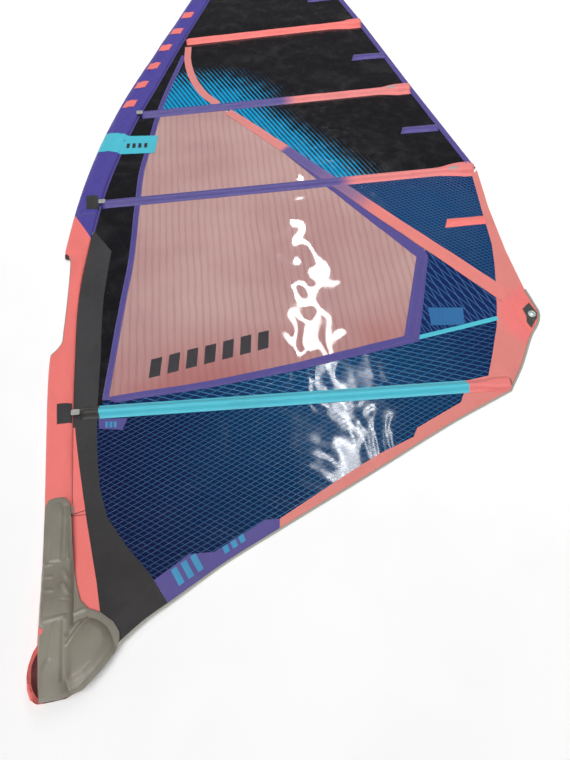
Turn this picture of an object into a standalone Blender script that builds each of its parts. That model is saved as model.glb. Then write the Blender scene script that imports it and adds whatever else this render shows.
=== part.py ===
"""A windsurf sail lying flat on the ground, unrigged, as a Blender model.

Metres, +Z up. The plan is drawn from the tack, the lower end of the luff: x runs aft towards the clew and y runs
up the straight lower luff towards the head. ORIGIN then moves the whole sail, so that its box is centred on 0, 0.
"""

import math

import bmesh
import bpy
from mathutils import Matrix, Vector
from mathutils.geometry import delaunay_2d_cdt

# ---------------------------------------------------------------- driving dimensions
ORIGIN = (0.90196, 2.08689)  # plan position of the box's centre
HEAD_Y = 4.10  # top of the mast sleeve
LUFF_STRAIGHT = 0.80  # the luff is straight up to here
LUFF_BEND_END = 2.75  # and straight again above here
LUFF_BEND = 0.0904
LUFF_POWER = 2.3

PANEL_Z = 0.002  # height of the cloth's middle over the ground
PANEL_HALF = 0.0006
GAP = 0.0004  # between neighbours that touch on the real sail
SEAM_GAP = 0.00025  # each panel's own share of a seam
CHORD = 0.1  # curved edges are straight between whole multiples of this
TACK_RISE = 0.0314  # the tack fairing holds the cloth up by this much
RISE_Y = 0.62
RISE_X = 0.55
RISE_X_FROM = 0.05

SLEEVE_WALL = 0.0013
SLEEVE_HALF = 0.0014
SLEEVE_UP = 0.015
SLEEVE_POINTS = 8  # along each skin of a section
SLEEVE_FOOT = 0.125
GUSSET_FOOT = 0.128
GUSSET_TOP = 0.84
SLEEVE_COLOUR_CHANGE = 1.83
CUTOUT = (1.150, 1.630)

TAPE_Z = PANEL_Z + PANEL_HALF + GAP
TAPE_THICK = 0.001
POCKET_BOTTOM = TAPE_Z + TAPE_THICK + GAP
POCKET_HALF_WIDTH = 0.026
POCKET_HALF_HEIGHT = 0.008
POCKET_WALL = 0.001
POCKET_Z = POCKET_BOTTOM + POCKET_HALF_HEIGHT
BATTEN_RADIUS = 0.006
BATTEN_BORE = 0.0042
BATTEN_BORE_DEPTH = 0.046
TENSIONER_LENGTH = 0.050
TENSIONER_HALF_WIDTH = 0.017
TENSIONER_GAP = 0.006
MINI_HALF_WIDTH = 0.024
MINI_LENGTH = 0.150

FAIRING_TOP = 0.360  # the opening half ends here and the fixed tongue begins
FAIRING_THICK = 0.005
FAIRING_CLEAR = 0.0022
FAIRING_FRONT = -0.012
TONGUE_CLEAR = 0.0021  # the tongue is drawn in coarser steps than the sleeve under it

SHEAVE_RADIUS = 0.012
SHEAVE_WIDTH = 0.006
SHEAVE_PITCH = 0.0115
AXLE_RADIUS = 0.003
BLOCK_AT = (0.128, 0.062)
PIN_OFFSET = 0.040
PIN_RADIUS = 0.0035

CLEW_HOLE = (1.787, 1.034)
HEAD_AT = (1.139, 4.118)

CORAL, PURPLE, CHARCOAL, INK = "coral_cloth", "purple_cloth", "charcoal_cloth", "black_film"
BLUE, WINDOW, AQUA, GREY = "blue_film", "window_film", "aqua_tape", "fairing_foam"
PLASTIC, STEEL, GLASS, WEB = "black_plastic", "steel", "glass_rod", "webbing"
COLOURS = {  # base colour, roughness, metallic
    CORAL: ((0.93, 0.30, 0.28), 0.6, 0.0),
    PURPLE: ((0.10, 0.07, 0.30), 0.5, 0.0),
    CHARCOAL: ((0.05, 0.05, 0.05), 0.7, 0.0),
    INK: ((0.02, 0.02, 0.025), 0.3, 0.0),
    BLUE: ((0.02, 0.07, 0.22), 0.2, 0.0),
    WINDOW: ((0.60, 0.33, 0.32), 0.1, 0.0),
    AQUA: ((0.06, 0.55, 0.66), 0.35, 0.0),
    GREY: ((0.22, 0.21, 0.18), 0.5, 0.0),
    PLASTIC: ((0.03, 0.03, 0.03), 0.4, 0.0),
    STEEL: ((0.60, 0.60, 0.60), 0.25, 1.0),
    GLASS: ((0.08, 0.08, 0.09), 0.3, 0.0),
    WEB: ((0.02, 0.02, 0.02), 0.8, 0.0),
}

# ---------------------------------------------------------------- the sail plan, as (x, y) points and x(y) curves
SLEEVE_BACK = [
    (0.088, 0.00), (0.088, 0.85), (0.096, 1.11), (0.110, 1.38), (0.163, 1.70), (0.222, 1.96), (0.292, 2.18),
    (0.374, 2.40), (0.487, 2.65), (0.618, 2.94), (0.908, 3.55), (1.160, 4.10),
]  # fmt: skip
GUSSET_BACK = [(0.172, 0.12), (0.166, 0.24), (0.125, 0.53), (0.093, 0.84), (0.090, 0.94)]
LUFF_SEAM = [
    (0.176, 0.85), (0.223, 1.10), (0.266, 1.33), (0.312, 1.56), (0.350, 1.85), (0.380, 2.05), (0.444, 2.30),
    (0.492, 2.48), (0.637, 2.88), (0.712, 3.10),
]  # fmt: skip
LUFF_PANEL_BACK = [
    (0.363, 0.2067), (0.320, 0.291), (0.247, 0.400), (0.195, 0.494), (0.170, 0.62), (0.168, 0.854), (0.186, 1.10),
    (0.202, 1.36), (0.243, 1.62), (0.255, 1.70),
]  # fmt: skip
LUFF_PANEL_TIP = (0.177, 1.745)
PATCH_FRONT = [
    (1.480, 0.700), (1.536, 0.800), (1.582, 0.889), (1.631, 0.985), (1.681, 1.126), (1.722, 1.261), (1.756, 1.398), (1.772, 1.530),
    (1.806, 1.800), (1.818, 1.900),
]  # fmt: skip
PATCH_FOOT = [
    (0.722, 0.407), (0.976, 0.525), (1.083, 0.571), (1.211, 0.612), (1.231, 0.642), (1.277, 0.661), (1.408, 0.713),
    (1.427, 0.743), (1.458, 0.794),
]  # fmt: skip
FOOT = [(0.170, 0.085), (0.298, 0.173), (0.363, 0.2067), (0.539, 0.298), (0.716, 0.373), (1.030, 0.503), (1.372, 0.647),
        (1.593, 0.728)]  # fmt: skip
CLEW = [(1.593, 0.728), (1.665, 0.816), (1.750, 0.941), (1.806, 1.010), (1.815, 1.035), (1.812, 1.070)]
LEECH = [(1.803, 1.150), (1.800, 1.350), (1.812, 1.600), (1.838, 1.830), (1.715, 2.440), (1.608, 3.010),
         (1.485, 3.570), (1.325, 4.110)]  # fmt: skip
FOOT_BAND_FROM = 0.281  # height of its corner on the luff panel
FOOT_BAND = [(0.433, 0.342), (0.508, 0.337), (0.677, 0.411), (0.722, 0.407)]

BATTENS = [  # front end and leech end of each batten's line
    ((0.112, 0.8909), (1.600, 0.7557)),
    ((0.215, 1.8915), (1.822, 1.8400)),
    ((0.412, 2.4520), (1.700, 2.4382)),
    ((0.672, 3.0010), (1.592, 3.0200)),
    ((0.932, 3.5300), (1.468, 3.5640)),
]
MINI_BATTENS = [((1.780, 1.532), 0.04), ((1.752, 2.131), 0.03), ((1.655, 2.720), 0.02), ((1.535, 3.290), -0.03)]

LOAD_BAND = [(0.812, 2.411), (1.050, 2.078), (1.300, 1.722), (1.500, 1.438), (1.693, 1.170)]
LOAD_BAND_HALF = (0.022, 0.032)
WINDOW_FOOT = 0.93
WINDOW_EDGE = [(1.460, 1.379), (1.312, 1.002), (0.886, 0.952), (0.560, 0.931)]
WINDOW_INNER = [(1.437, 1.381), (1.289, 1.019), (0.889, 0.969), (0.560, 0.946), (0.205, 0.940)]
WINDOW_OUTER = [(1.484, 1.377), (1.336, 0.986), (0.883, 0.936), (0.560, 0.918), (0.230, 0.914)]
BATTEN_STRIP = (1.338, 1.036)  # ends of the reinforcement from the window's corner to the clew patch


# ---------------------------------------------------------------- curves and surfaces
def luff_x(y):
    """The front edge of the mast sleeve."""
    bend = min(max(y - LUFF_STRAIGHT, 0.0), LUFF_BEND_END - LUFF_STRAIGHT)
    slope = LUFF_BEND * LUFF_POWER * (LUFF_BEND_END - LUFF_STRAIGHT) ** (LUFF_POWER - 1)
    return LUFF_BEND * bend**LUFF_POWER + slope * max(y - LUFF_BEND_END, 0.0)


def x_at(knots, y):
    """x on the smooth curve through knots, which are (x, y) points that rise in y."""
    last = len(knots) - 1
    i = max(k for k in range(last) if knots[k][1] <= y or k == 0)

    def slope(k):
        a, b = knots[max(k - 1, 0)], knots[min(k + 1, last)]
        return (b[0] - a[0]) / (b[1] - a[1])

    (x0, y0), (x1, y1) = knots[i], knots[i + 1]
    step = y1 - y0
    t = min(max((y - y0) / step, 0.0), 1.0)
    return (
        (2 * t**3 - 3 * t**2 + 1) * x0
        + (t**3 - 2 * t**2 + t) * step * slope(i)
        + (3 * t**2 - 2 * t**3) * x1
        + (t**3 - t**2) * step * slope(i + 1)
    )


def edge_x(knots, y):
    """x on the smooth curve's chords, which have their corners at every whole CHORD, so that neighbours match."""
    low = math.floor(y / CHORD + 1e-9)
    a, b = x_at(knots, low * CHORD), x_at(knots, (low + 1) * CHORD)
    return a + (b - a) * (y / CHORD - low)


def stations(low, high):
    """low, high and every whole CHORD between them."""
    first, last = math.floor(low / CHORD + 1.01), math.ceil(high / CHORD - 1.01)
    return [low] + [CHORD * k for k in range(first, last + 1)] + [high]


def along(knots, low, high):
    """Points up a curve's chords."""
    return [(edge_x(knots, y), y) for y in stations(low, high)]


def ease(t):
    t = min(max(t, 0.0), 1.0)
    return t * t * (3 - 2 * t)


def rise(x, y):
    """How far the fairing lifts the cloth there."""
    return TACK_RISE * ease(1 - y / RISE_Y) * ease(1 - (x - RISE_X_FROM) / RISE_X)


def cloth_z(x, y):
    return PANEL_Z + rise(x, y)


def dome(v, power=2.5):
    """0 at the edges v = 0 and 1, and 1 across the middle."""
    return math.sqrt(max(0.0, 1 - abs(2 * min(max(v, 0.0), 1.0) - 1) ** power))


def line_y(batten, x):
    (x0, y0), (x1, y1) = BATTENS[batten]
    return y0 + (y1 - y0) * (x - x0) / (x1 - x0)


def cut(outline, start, end):
    """The part of a plan outline on the left of the line from start to end."""
    (ax, ay), (bx, by) = start, end

    def side(p):
        return (bx - ax) * (p[1] - ay) - (by - ay) * (p[0] - ax)

    kept = []
    for p, q in zip(outline, outline[1:] + outline[:1]):
        sp, sq = side(p), side(q)
        if sp >= 0:
            kept.append(p)
        if sp * sq < 0:
            t = sp / (sp - sq)
            kept.append((p[0] + t * (q[0] - p[0]), p[1] + t * (q[1] - p[1])))
    return kept


def above(outline, batten):
    return cut(outline, *BATTENS[batten])


def below(outline, batten):
    start, end = BATTENS[batten]
    return cut(outline, end, start)


def inset(outline, distance):
    """The outline drawn in by distance, without repeated points, anticlockwise."""
    clean = [p for p, q in zip(outline, outline[-1:] + outline[:-1]) if math.dist(p, q) > 1e-4]
    area = sum(p[0] * q[1] - q[0] * p[1] for p, q in zip(clean, clean[1:] + clean[:1]))
    if area < 0:
        clean.reverse()
    moved = []
    for before, p, after in zip(clean[-1:] + clean[:-1], clean, clean[1:] + clean[:1]):
        a = (Vector(p) - Vector(before)).normalized()
        b = (Vector(after) - Vector(p)).normalized()
        normal = Vector((-a.y - b.y, a.x + b.x)).normalized()
        reach = distance / max(0.3, normal.dot(Vector((-a.y, a.x))))
        moved.append((p[0] + normal.x * reach, p[1] + normal.y * reach))
    return moved


# ---------------------------------------------------------------- making objects
def material(name):
    found = bpy.data.materials.get(name)
    if found:
        return found
    colour, roughness, metallic = COLOURS[name]
    made = bpy.data.materials.new(name)
    made.use_nodes = True
    shader = made.node_tree.nodes["Principled BSDF"]
    shader.inputs["Base Color"].default_value = (*colour, 1)
    shader.inputs["Roughness"].default_value = roughness
    shader.inputs["Metallic"].default_value = metallic
    return made


def add(name, vertices, faces, colour, location=(0, 0, 0), matrix=None):
    """A mesh object. Its location is in the sail plan, and is moved by ORIGIN."""
    mesh = bpy.data.meshes.new(name)
    mesh.from_pydata([tuple(v) for v in vertices], [], [tuple(f) for f in faces])
    mesh.validate()
    made = bmesh.new()
    made.from_mesh(mesh)
    bmesh.ops.recalc_face_normals(made, faces=made.faces)
    made.to_mesh(mesh)
    made.free()
    mesh.materials.append(material(colour))
    mesh.shade_smooth()
    mesh.set_sharp_from_angle(angle=math.radians(35))
    obj = bpy.data.objects.new(name, mesh)
    bpy.context.scene.collection.objects.link(obj)
    x, y, z = location
    obj.matrix_world = Matrix.Translation((x - ORIGIN[0], y - ORIGIN[1], z)) @ (matrix or Matrix.Identity(4))
    return obj


def filled(outline, spacing):
    """A triangulated plan outline, with inner points where the cloth isn't flat: (points, triangles)."""
    points = [Vector(p) for p in outline]
    edges = [(i, (i + 1) % len(points)) for i in range(len(points))]
    low = [min(p[k] for p in outline) for k in (0, 1)]
    high = [max(p[k] for p in outline) for k in (0, 1)]

    def clear(x, y):
        within = False
        for p, q in zip(outline, outline[1:] + outline[:1]):
            if (p[1] > y) != (q[1] > y) and x < p[0] + (y - p[1]) * (q[0] - p[0]) / (q[1] - p[1]):
                within = not within
            a, b = Vector(q) - Vector(p), Vector((x, y)) - Vector(p)
            share = min(max(a.dot(b) / a.length_squared, 0.0), 1.0)
            if (b - share * a).length < 0.4 * spacing:
                return False
        return within

    for i in range(1, math.ceil((high[0] - low[0]) / spacing)):
        for j in range(1, math.ceil((high[1] - low[1]) / spacing)):
            x, y = low[0] + i * spacing, low[1] + j * spacing
            if rise(x, y) > 0.0003 and clear(x, y):
                points.append(Vector((x, y)))
    made, _, faces, *_ = delaunay_2d_cdt(points, edges, [], 1, 1e-6)
    return [tuple(p) for p in made], [tuple(f) for f in faces]


def refined(outline, spacing):
    """The outline with long edges divided where the cloth isn't flat."""
    points = []
    for p, q in zip(outline, outline[1:] + outline[:1]):
        middle = ((p[0] + q[0]) / 2, (p[1] + q[1]) / 2)
        lifted = max(rise(*p), rise(*q), rise(*middle)) > 0.0003
        count = max(1, math.ceil(math.dist(p, q) / spacing)) if lifted else 1
        points += [(p[0] + (q[0] - p[0]) * i / count, p[1] + (q[1] - p[1]) * i / count) for i in range(count)]
    return points


def sheet(name, outline, colour, bottom=None, top=None, spacing=0.06, seam=SEAM_GAP):
    """A closed solid between two height functions over a plan outline, by default the cloth itself."""
    bottom = bottom or (lambda x, y: cloth_z(x, y) - PANEL_HALF)
    top = top or (lambda x, y: cloth_z(x, y) + PANEL_HALF)
    points, faces = filled(refined(inset(outline, seam), spacing), spacing)
    count = len(points)
    vertices = [(x, y, top(x, y)) for x, y in points] + [(x, y, bottom(x, y)) for x, y in points]
    sides = {}
    for a, b, c in faces:
        for edge in ((a, b), (b, c), (c, a)):
            sides[edge] = True
    rim = [(a, b) for a, b in sides if (b, a) not in sides]
    solid = list(faces) + [(c + count, b + count, a + count) for a, b, c in faces]
    solid += [(b, a, a + count, b + count) for a, b in rim]
    return add(name, vertices, solid, colour)


def tape(name, outline, colour, z=TAPE_Z):
    """A reinforcement that lies on the cloth."""
    return sheet(
        name,
        outline,
        colour,
        bottom=lambda x, y: z + rise(x, y),
        top=lambda x, y: z + TAPE_THICK + rise(x, y),
        seam=0.0,
    )


def band(line, half_start, half_end):
    """A plan outline that runs along a line with a width that changes evenly."""
    left, right = [], []
    for i, p in enumerate(line):
        before, after = line[max(i - 1, 0)], line[min(i + 1, len(line) - 1)]
        run = (Vector(after) - Vector(before)).normalized()
        half = half_start + (half_end - half_start) * i / (len(line) - 1)
        left.append((p[0] - run.y * half, p[1] + run.x * half))
        right.append((p[0] + run.y * half, p[1] - run.x * half))
    return right + left[::-1]


def loft(name, outer, inner, colour, location=(0, 0, 0), matrix=None, closed_start=False):
    """A tube from matching rings of points. With closed_start the first end is a solid wall."""
    size = len(outer[0])
    vertices = [p for ring in outer + inner for p in ring]
    hollow = len(outer) * size
    faces = []
    for start, rings in ((0, outer), (hollow, inner)):
        for r in range(len(rings) - 1):
            base = start + r * size
            faces += [(base + i, base + (i + 1) % size, base + size + (i + 1) % size, base + size + i)
                      for i in range(size)]  # fmt: skip
    ends = [(len(outer) - 1, hollow + (len(inner) - 1) * size)]
    if closed_start:
        faces += [tuple(range(size)), tuple(range(hollow, hollow + size))]
    else:
        ends.append((0, hollow))
    for ring, hole in ends:
        base = ring * size
        faces += [(base + i, base + (i + 1) % size, hole + (i + 1) % size, hole + i) for i in range(size)]
    return add(name, vertices, faces, colour, location, matrix)


def circle(radius, x, count=12):
    return [(x, radius * math.cos(2 * math.pi * i / count), radius * math.sin(2 * math.pi * i / count))
            for i in range(count)]  # fmt: skip


def oval(half_width, half_height, x, power=4.0, count=12):
    """A rounded rectangle in the plane of that x."""
    ring = []
    for i in range(count):
        c, s = math.cos(2 * math.pi * i / count), math.sin(2 * math.pi * i / count)
        ring.append((x, half_width * math.copysign(abs(c) ** (2 / power), c),
                     half_height * math.copysign(abs(s) ** (2 / power), s)))  # fmt: skip
    return ring


def turned(name, profile, colour, location=(0, 0, 0), matrix=None, count=12):
    """A solid turned about its own X axis from (x, radius) points. Points at radius 0 close its ends."""
    vertices, rings = [], []
    for x, radius in profile:
        if radius == 0:
            rings.append([len(vertices)])
            vertices.append((x, 0, 0))
        else:
            rings.append(list(range(len(vertices), len(vertices) + count)))
            vertices += circle(radius, x, count)
    faces = []
    for a, b in zip(rings, rings[1:]):
        for i in range(count):
            j = (i + 1) % count
            corners = [a[i % len(a)], a[j % len(a)], b[j % len(b)], b[i % len(b)]]
            faces.append(tuple(dict.fromkeys(corners)))
    return add(name, vertices, faces, colour, location, matrix)


def box(name, low, high, colour, location=(0, 0, 0), matrix=None):
    (x0, y0, z0), (x1, y1, z1) = low, high
    vertices = [(x, y, z) for x in (x0, x1) for y in (y0, y1) for z in (z0, z1)]
    faces = [(0, 1, 3, 2), (4, 6, 7, 5), (0, 4, 5, 1), (2, 3, 7, 6), (0, 2, 6, 4), (1, 5, 7, 3)]
    return add(name, vertices, faces, colour, location, matrix)


def boolean(obj, tool, operation):
    """Cuts tool from obj, or joins it on, and takes tool away."""
    change = obj.modifiers.new(operation.lower(), "BOOLEAN")
    change.operation = operation
    change.object = tool
    change.solver = "EXACT"
    bpy.context.view_layer.update()
    graph = bpy.context.evaluated_depsgraph_get()
    mesh = bpy.data.meshes.new_from_object(obj.evaluated_get(graph))
    obj.modifiers.clear()
    obj.data = mesh
    bpy.data.objects.remove(tool)
    return obj


# ---------------------------------------------------------------- the mast sleeve
def sleeve_heights(y, x):
    """How far the sleeve bulges over and under the cloth's plane there."""
    lift = rise(x, y)
    return SLEEVE_UP + 0.006 * lift / TACK_RISE, 0.9 * max(0.0, lift - 0.006)


def sleeve_tube(name, low, high, colour):
    outer, inner = [], []
    for y in stations(low, high):
        front, back = luff_x(y), edge_x(SLEEVE_BACK, y)
        up, down = sleeve_heights(y, (front + back) / 2)
        rings = []
        for edge, wall in ((0.0, 0.0), (0.05, SLEEVE_WALL)):
            shares = [edge + (1 - 2 * edge) * (1 - math.cos(math.pi * i / (SLEEVE_POINTS - 1))) / 2
                      for i in range(SLEEVE_POINTS)]  # fmt: skip
            over, under = [], []
            for v in shares:
                x = front + (back - front) * v
                over.append((x, y, cloth_z(x, y) + SLEEVE_HALF + up * dome(v) - wall))
                under.append((x, y, cloth_z(x, y) - SLEEVE_HALF - down * dome(v) + wall))
            rings.append(over + under[::-1])
        outer.append(rings[0])
        inner.append(rings[1])
    return loft(name, outer, inner, colour)


def mast_sleeve():
    lower = sleeve_tube("mast_sleeve_lower", SLEEVE_FOOT, SLEEVE_COLOUR_CHANGE - 0.0005, CORAL)
    low, high = CUTOUT
    edge = [(-0.06, low - 0.030), (0.010, low - 0.005), (0.050, low + 0.040), (0.060, 1.280), (0.071, 1.400),
            (0.082, 1.520), (0.082, high - 0.045), (0.060, high), (-0.06, high + 0.01)]  # fmt: skip
    cutter = sheet("boom_cutout_cutter", edge, CORAL, lambda x, y: -0.05, lambda x, y: 0.05, spacing=1.0, seam=0.0)
    boolean(lower, cutter, "DIFFERENCE")
    sleeve_tube("mast_sleeve_upper", SLEEVE_COLOUR_CHANGE + 0.0005, HEAD_Y, PURPLE)
    gusset = along(GUSSET_BACK, GUSSET_FOOT, GUSSET_TOP) + along(SLEEVE_BACK, GUSSET_FOOT, GUSSET_TOP)[::-1]
    sheet("sleeve_gusset", gusset, CORAL)


# ---------------------------------------------------------------- cloth and film panels
def luff_panels():
    sleeve_side = along(GUSSET_BACK, GUSSET_FOOT, GUSSET_TOP) + along(SLEEVE_BACK, GUSSET_TOP, 1.715)
    lower = FOOT[:2] + along(LUFF_PANEL_BACK, FOOT[2][1], 1.62) + [LUFF_PANEL_TIP] + sleeve_side[::-1]
    sheet("luff_panel_lower", lower, CHARCOAL)
    upper = along(LUFF_SEAM, WINDOW_FOOT, 3.07) + along(SLEEVE_BACK, 1.76, 3.07)[::-1]
    upper += [LUFF_PANEL_TIP] + along(LUFF_PANEL_BACK, WINDOW_FOOT - 0.07, 1.62)[::-1]
    sheet("luff_panel_upper", below(above(upper, 0), 3), INK)


def glazing():
    glazed = along(LUFF_SEAM, WINDOW_FOOT, 2.60) + [LOAD_BAND[0], LOAD_BAND[2]] + WINDOW_EDGE
    sheet("window_lower", below(glazed, 1), WINDOW)
    sheet("window_upper", below(above(glazed, 1), 2), WINDOW)


def film_panels():
    patch_line = (edge_x(PATCH_FRONT, BATTEN_STRIP[1]), BATTEN_STRIP[1])
    aft = [WINDOW_EDGE[0], *LOAD_BAND[3:]] + along(PATCH_FRONT, BATTEN_STRIP[1], LOAD_BAND[-1][1])[-2::-1]
    sheet("aft_panel", aft + WINDOW_EDGE[1:2], BLUE)
    boom = PATCH_FOOT[-2:] + along(PATCH_FRONT, 0.80, BATTEN_STRIP[1])[:-1] + [patch_line] + WINDOW_EDGE[1:]
    boom += [(edge_x(LUFF_SEAM, WINDOW_FOOT), WINDOW_FOOT), (edge_x(LUFF_PANEL_BACK, 0.86), 0.86)]
    sheet("boom_panel", above(boom, 0), BLUE)
    leech_side = LOAD_BAND[1:-1] + along(PATCH_FRONT, LOAD_BAND[-1][1], 1.88) + [(1.0, 1.95)]
    sheet("leech_panel", below(leech_side, 1), BLUE)
    foot = along(LUFF_PANEL_BACK, FOOT_BAND_FROM, 0.95)[::-1] + FOOT_BAND + PATCH_FOOT[1:] + [(1.458, 0.90)]
    sheet("foot_panel", below(foot, 0), BLUE)


def upper_panels():
    leech = LEECH[3:]
    middle = [LOAD_BAND[0], LOAD_BAND[2], (1.31, 1.70)] + leech + [(0.812, 3.9)]
    sheet("body_panel_middle", below(above(middle, 1), 2), INK)
    seam_top = 3.03
    front = along(LUFF_SEAM, 2.30, seam_top) + along(SLEEVE_BACK, seam_top, HEAD_Y)
    sheet("body_panel_upper", below(above(front + leech[::-1], 2), 3), INK)
    high_sail = along(SLEEVE_BACK, 2.90, HEAD_Y) + leech[::-1]
    sheet("body_panel_top", below(above(high_sail, 3), 4), INK)
    sheet("head_panel", above(high_sail, 4), PURPLE)


def reinforcements():
    patch = FOOT[4:] + CLEW[1:] + LEECH[:4] + along(PATCH_FRONT, 0.80, 1.80)[::-1] + PATCH_FOOT[::-1]
    clew = sheet("clew_patch", patch, CORAL)
    boolean(clew, clew_hole(), "DIFFERENCE")
    foot = FOOT[2:5] + FOOT_BAND[::-1] + along(LUFF_PANEL_BACK, FOOT[2][1], FOOT_BAND_FROM)[::-1]
    sheet("foot_tape", foot, PURPLE)

    tape("load_band", band(LOAD_BAND, *LOAD_BAND_HALF), CORAL)
    beside = band(LOAD_BAND, *(half + 0.001 for half in LOAD_BAND_HALF))[1:4]
    tape("window_tape_aft", [WINDOW_INNER[0], *beside, WINDOW_OUTER[0], WINDOW_OUTER[1], WINDOW_INNER[1]], PURPLE)
    apart = [(x, y - 0.001) for x, y in (WINDOW_INNER[1], WINDOW_OUTER[1])]
    tape("window_tape_lower", [apart[1]] + WINDOW_OUTER[2:] + WINDOW_INNER[:1:-1] + [apart[0]], PURPLE)
    leech = [(1.836, 1.842)] + LEECH[4:] + [(x - 0.026, y - 0.003) for x, y in LEECH[:3:-1]] + [(1.810, 1.838)]
    tape("leech_tape", leech, PURPLE)


def clew_hole(radius=0.0115):
    profile = [(-0.02, 0), (-0.02, radius), (0.02, radius), (0.02, 0)]
    upright = Matrix.Rotation(math.radians(90), 4, "Y")
    return turned("clew_cutter", profile, CORAL, (*CLEW_HOLE, PANEL_Z), upright, count=16)


def clew_fittings():
    plate = tape("clew_plate", [(1.742, 1.050), (1.762, 0.972), (1.800, 1.014), (1.808, 1.036), (1.796, 1.088)], PLASTIC)
    boolean(plate, clew_hole(), "DIFFERENCE")
    upright = Matrix.Rotation(math.radians(-90), 4, "Y")
    hole, lip = 0.008, 0.0155
    top, bottom = TAPE_THICK + GAP * 2 + PANEL_HALF, -PANEL_HALF - GAP
    outer = [(bottom - 0.0010, hole), (bottom - 0.0010, lip), (bottom, lip), (bottom, 0.0110), (top, 0.0110),
             (top, lip), (top + 0.0018, lip - 0.002), (top + 0.0018, hole)]  # fmt: skip
    rings = [circle(radius, x, 16) for x, radius in outer]
    faces = []
    for a in range(len(rings)):
        b = (a + 1) % len(rings)
        faces += [(a * 16 + i, a * 16 + (i + 1) % 16, b * 16 + (i + 1) % 16, b * 16 + i) for i in range(16)]
    add("clew_eyelet", [p for ring in rings for p in ring], faces, STEEL, (*CLEW_HOLE, PANEL_Z), upright)


# ---------------------------------------------------------------- battens
def batten_frame(batten):
    """The matrix whose X axis runs down the batten's line from its leech end to its front end, and its length."""
    (x0, y0), (x1, y1) = BATTENS[batten]
    turn = math.atan2(y0 - y1, x0 - x1)
    return Matrix.Rotation(turn, 4, "Z"), math.dist((x0, y0), (x1, y1))


def batten_set(batten):
    number = batten + 1
    turn, length = batten_frame(batten)
    at = (*BATTENS[batten][1], POCKET_Z)
    aft = TENSIONER_LENGTH + 0.001
    nose = length
    outer = [oval(POCKET_HALF_WIDTH, POCKET_HALF_HEIGHT, x) for x in (nose, aft)]
    inner = [oval(POCKET_HALF_WIDTH - 0.0015, POCKET_HALF_HEIGHT - POCKET_WALL, x) for x in (nose - 0.004, aft)]
    colour = (AQUA, PURPLE, PURPLE, CORAL, PURPLE)[batten]
    loft(f"batten_pocket_{number}", outer, inner, colour, at, turn, closed_start=True)

    rod_aft, rod_front = aft + TENSIONER_GAP, nose - 0.018
    rod = [(rod_front, 0), (rod_front, BATTEN_RADIUS * 0.6), (rod_front - 0.004, BATTEN_RADIUS),
           (rod_aft, BATTEN_RADIUS), (rod_aft, BATTEN_BORE), (rod_aft + BATTEN_BORE_DEPTH, BATTEN_BORE),
           (rod_aft + BATTEN_BORE_DEPTH, 0)]  # fmt: skip
    turned(f"batten_{number}", rod, GLASS, at, turn)

    half_height = POCKET_HALF_HEIGHT
    outer = [oval(TENSIONER_HALF_WIDTH * s, half_height, x, 5) for x, s in ((0.0, 0.8), (0.008, 1), (aft - 0.001, 1))]
    inner = [circle(0.0062, x) for x in (0.0, 0.008, aft - 0.001)]
    loft(f"tensioner_housing_{number}", outer, inner, PLASTIC, at, turn)
    head_back, head_front, tip = 0.004, 0.014, rod_aft + 0.030
    screw = [(head_back, 0.0), (head_back, 0.0052), (head_front, 0.0055), (head_front, 0.0036), (tip, 0.0036), (tip, 0)]
    made = turned(f"tensioner_screw_{number}", screw, STEEL, at, turn)
    socket = [(-0.02, 0), (-0.02, 0.0030), (0.010, 0.0030), (0.010, 0)]
    boolean(made, turned("hex_cutter", socket, STEEL, at, turn, count=6), "DIFFERENCE")


def mini_battens():
    for i, ((x, y), slope) in enumerate(MINI_BATTENS):
        turn = Matrix.Rotation(math.atan(-slope) + math.pi, 4, "Z")
        height = 0.004
        rings = [oval(MINI_HALF_WIDTH * s, height, along_x, 6, 12)
                 for along_x, s in ((0.028, 1.0), (MINI_LENGTH, 1.0), (MINI_LENGTH + 0.01, 0.7))]  # fmt: skip
        points = [p for ring in rings for p in ring]
        size = len(rings[0])
        faces = [tuple(range(size)), tuple(range(2 * size, 3 * size))]
        for r in (0, size):
            faces += [(r + k, r + (k + 1) % size, r + size + (k + 1) % size, r + size + k) for k in range(size)]
        add(f"mini_batten_{i + 1}", points, faces, CORAL if i == 0 else PURPLE, (x, y, TAPE_Z + height), turn)


# ---------------------------------------------------------------- the tack fairing
def fairing_dome(x, y):
    """0 on the fairing's flange, and 1 where it bulges round the mast and round the pulley block."""
    mast = dome((x - FAIRING_FRONT) / 0.117)
    away = ((x - BLOCK_AT[0]) / 0.072) ** 2 + ((y - 0.085) / 0.088) ** 2
    return max(mast, math.sqrt(max(0.0, 1 - away)))


def near_inner(x, y):
    amount = 0.018 + 0.008 * rise(x, y) / TACK_RISE
    return cloth_z(x, y) + FAIRING_CLEAR + amount * fairing_dome(x, y)


def far_inner(x, y):
    depth = cloth_z(x, y) - FAIRING_CLEAR - FAIRING_THICK - 0.0002
    return cloth_z(x, y) - FAIRING_CLEAR - max(0.0, depth) * fairing_dome(x, y)


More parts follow.
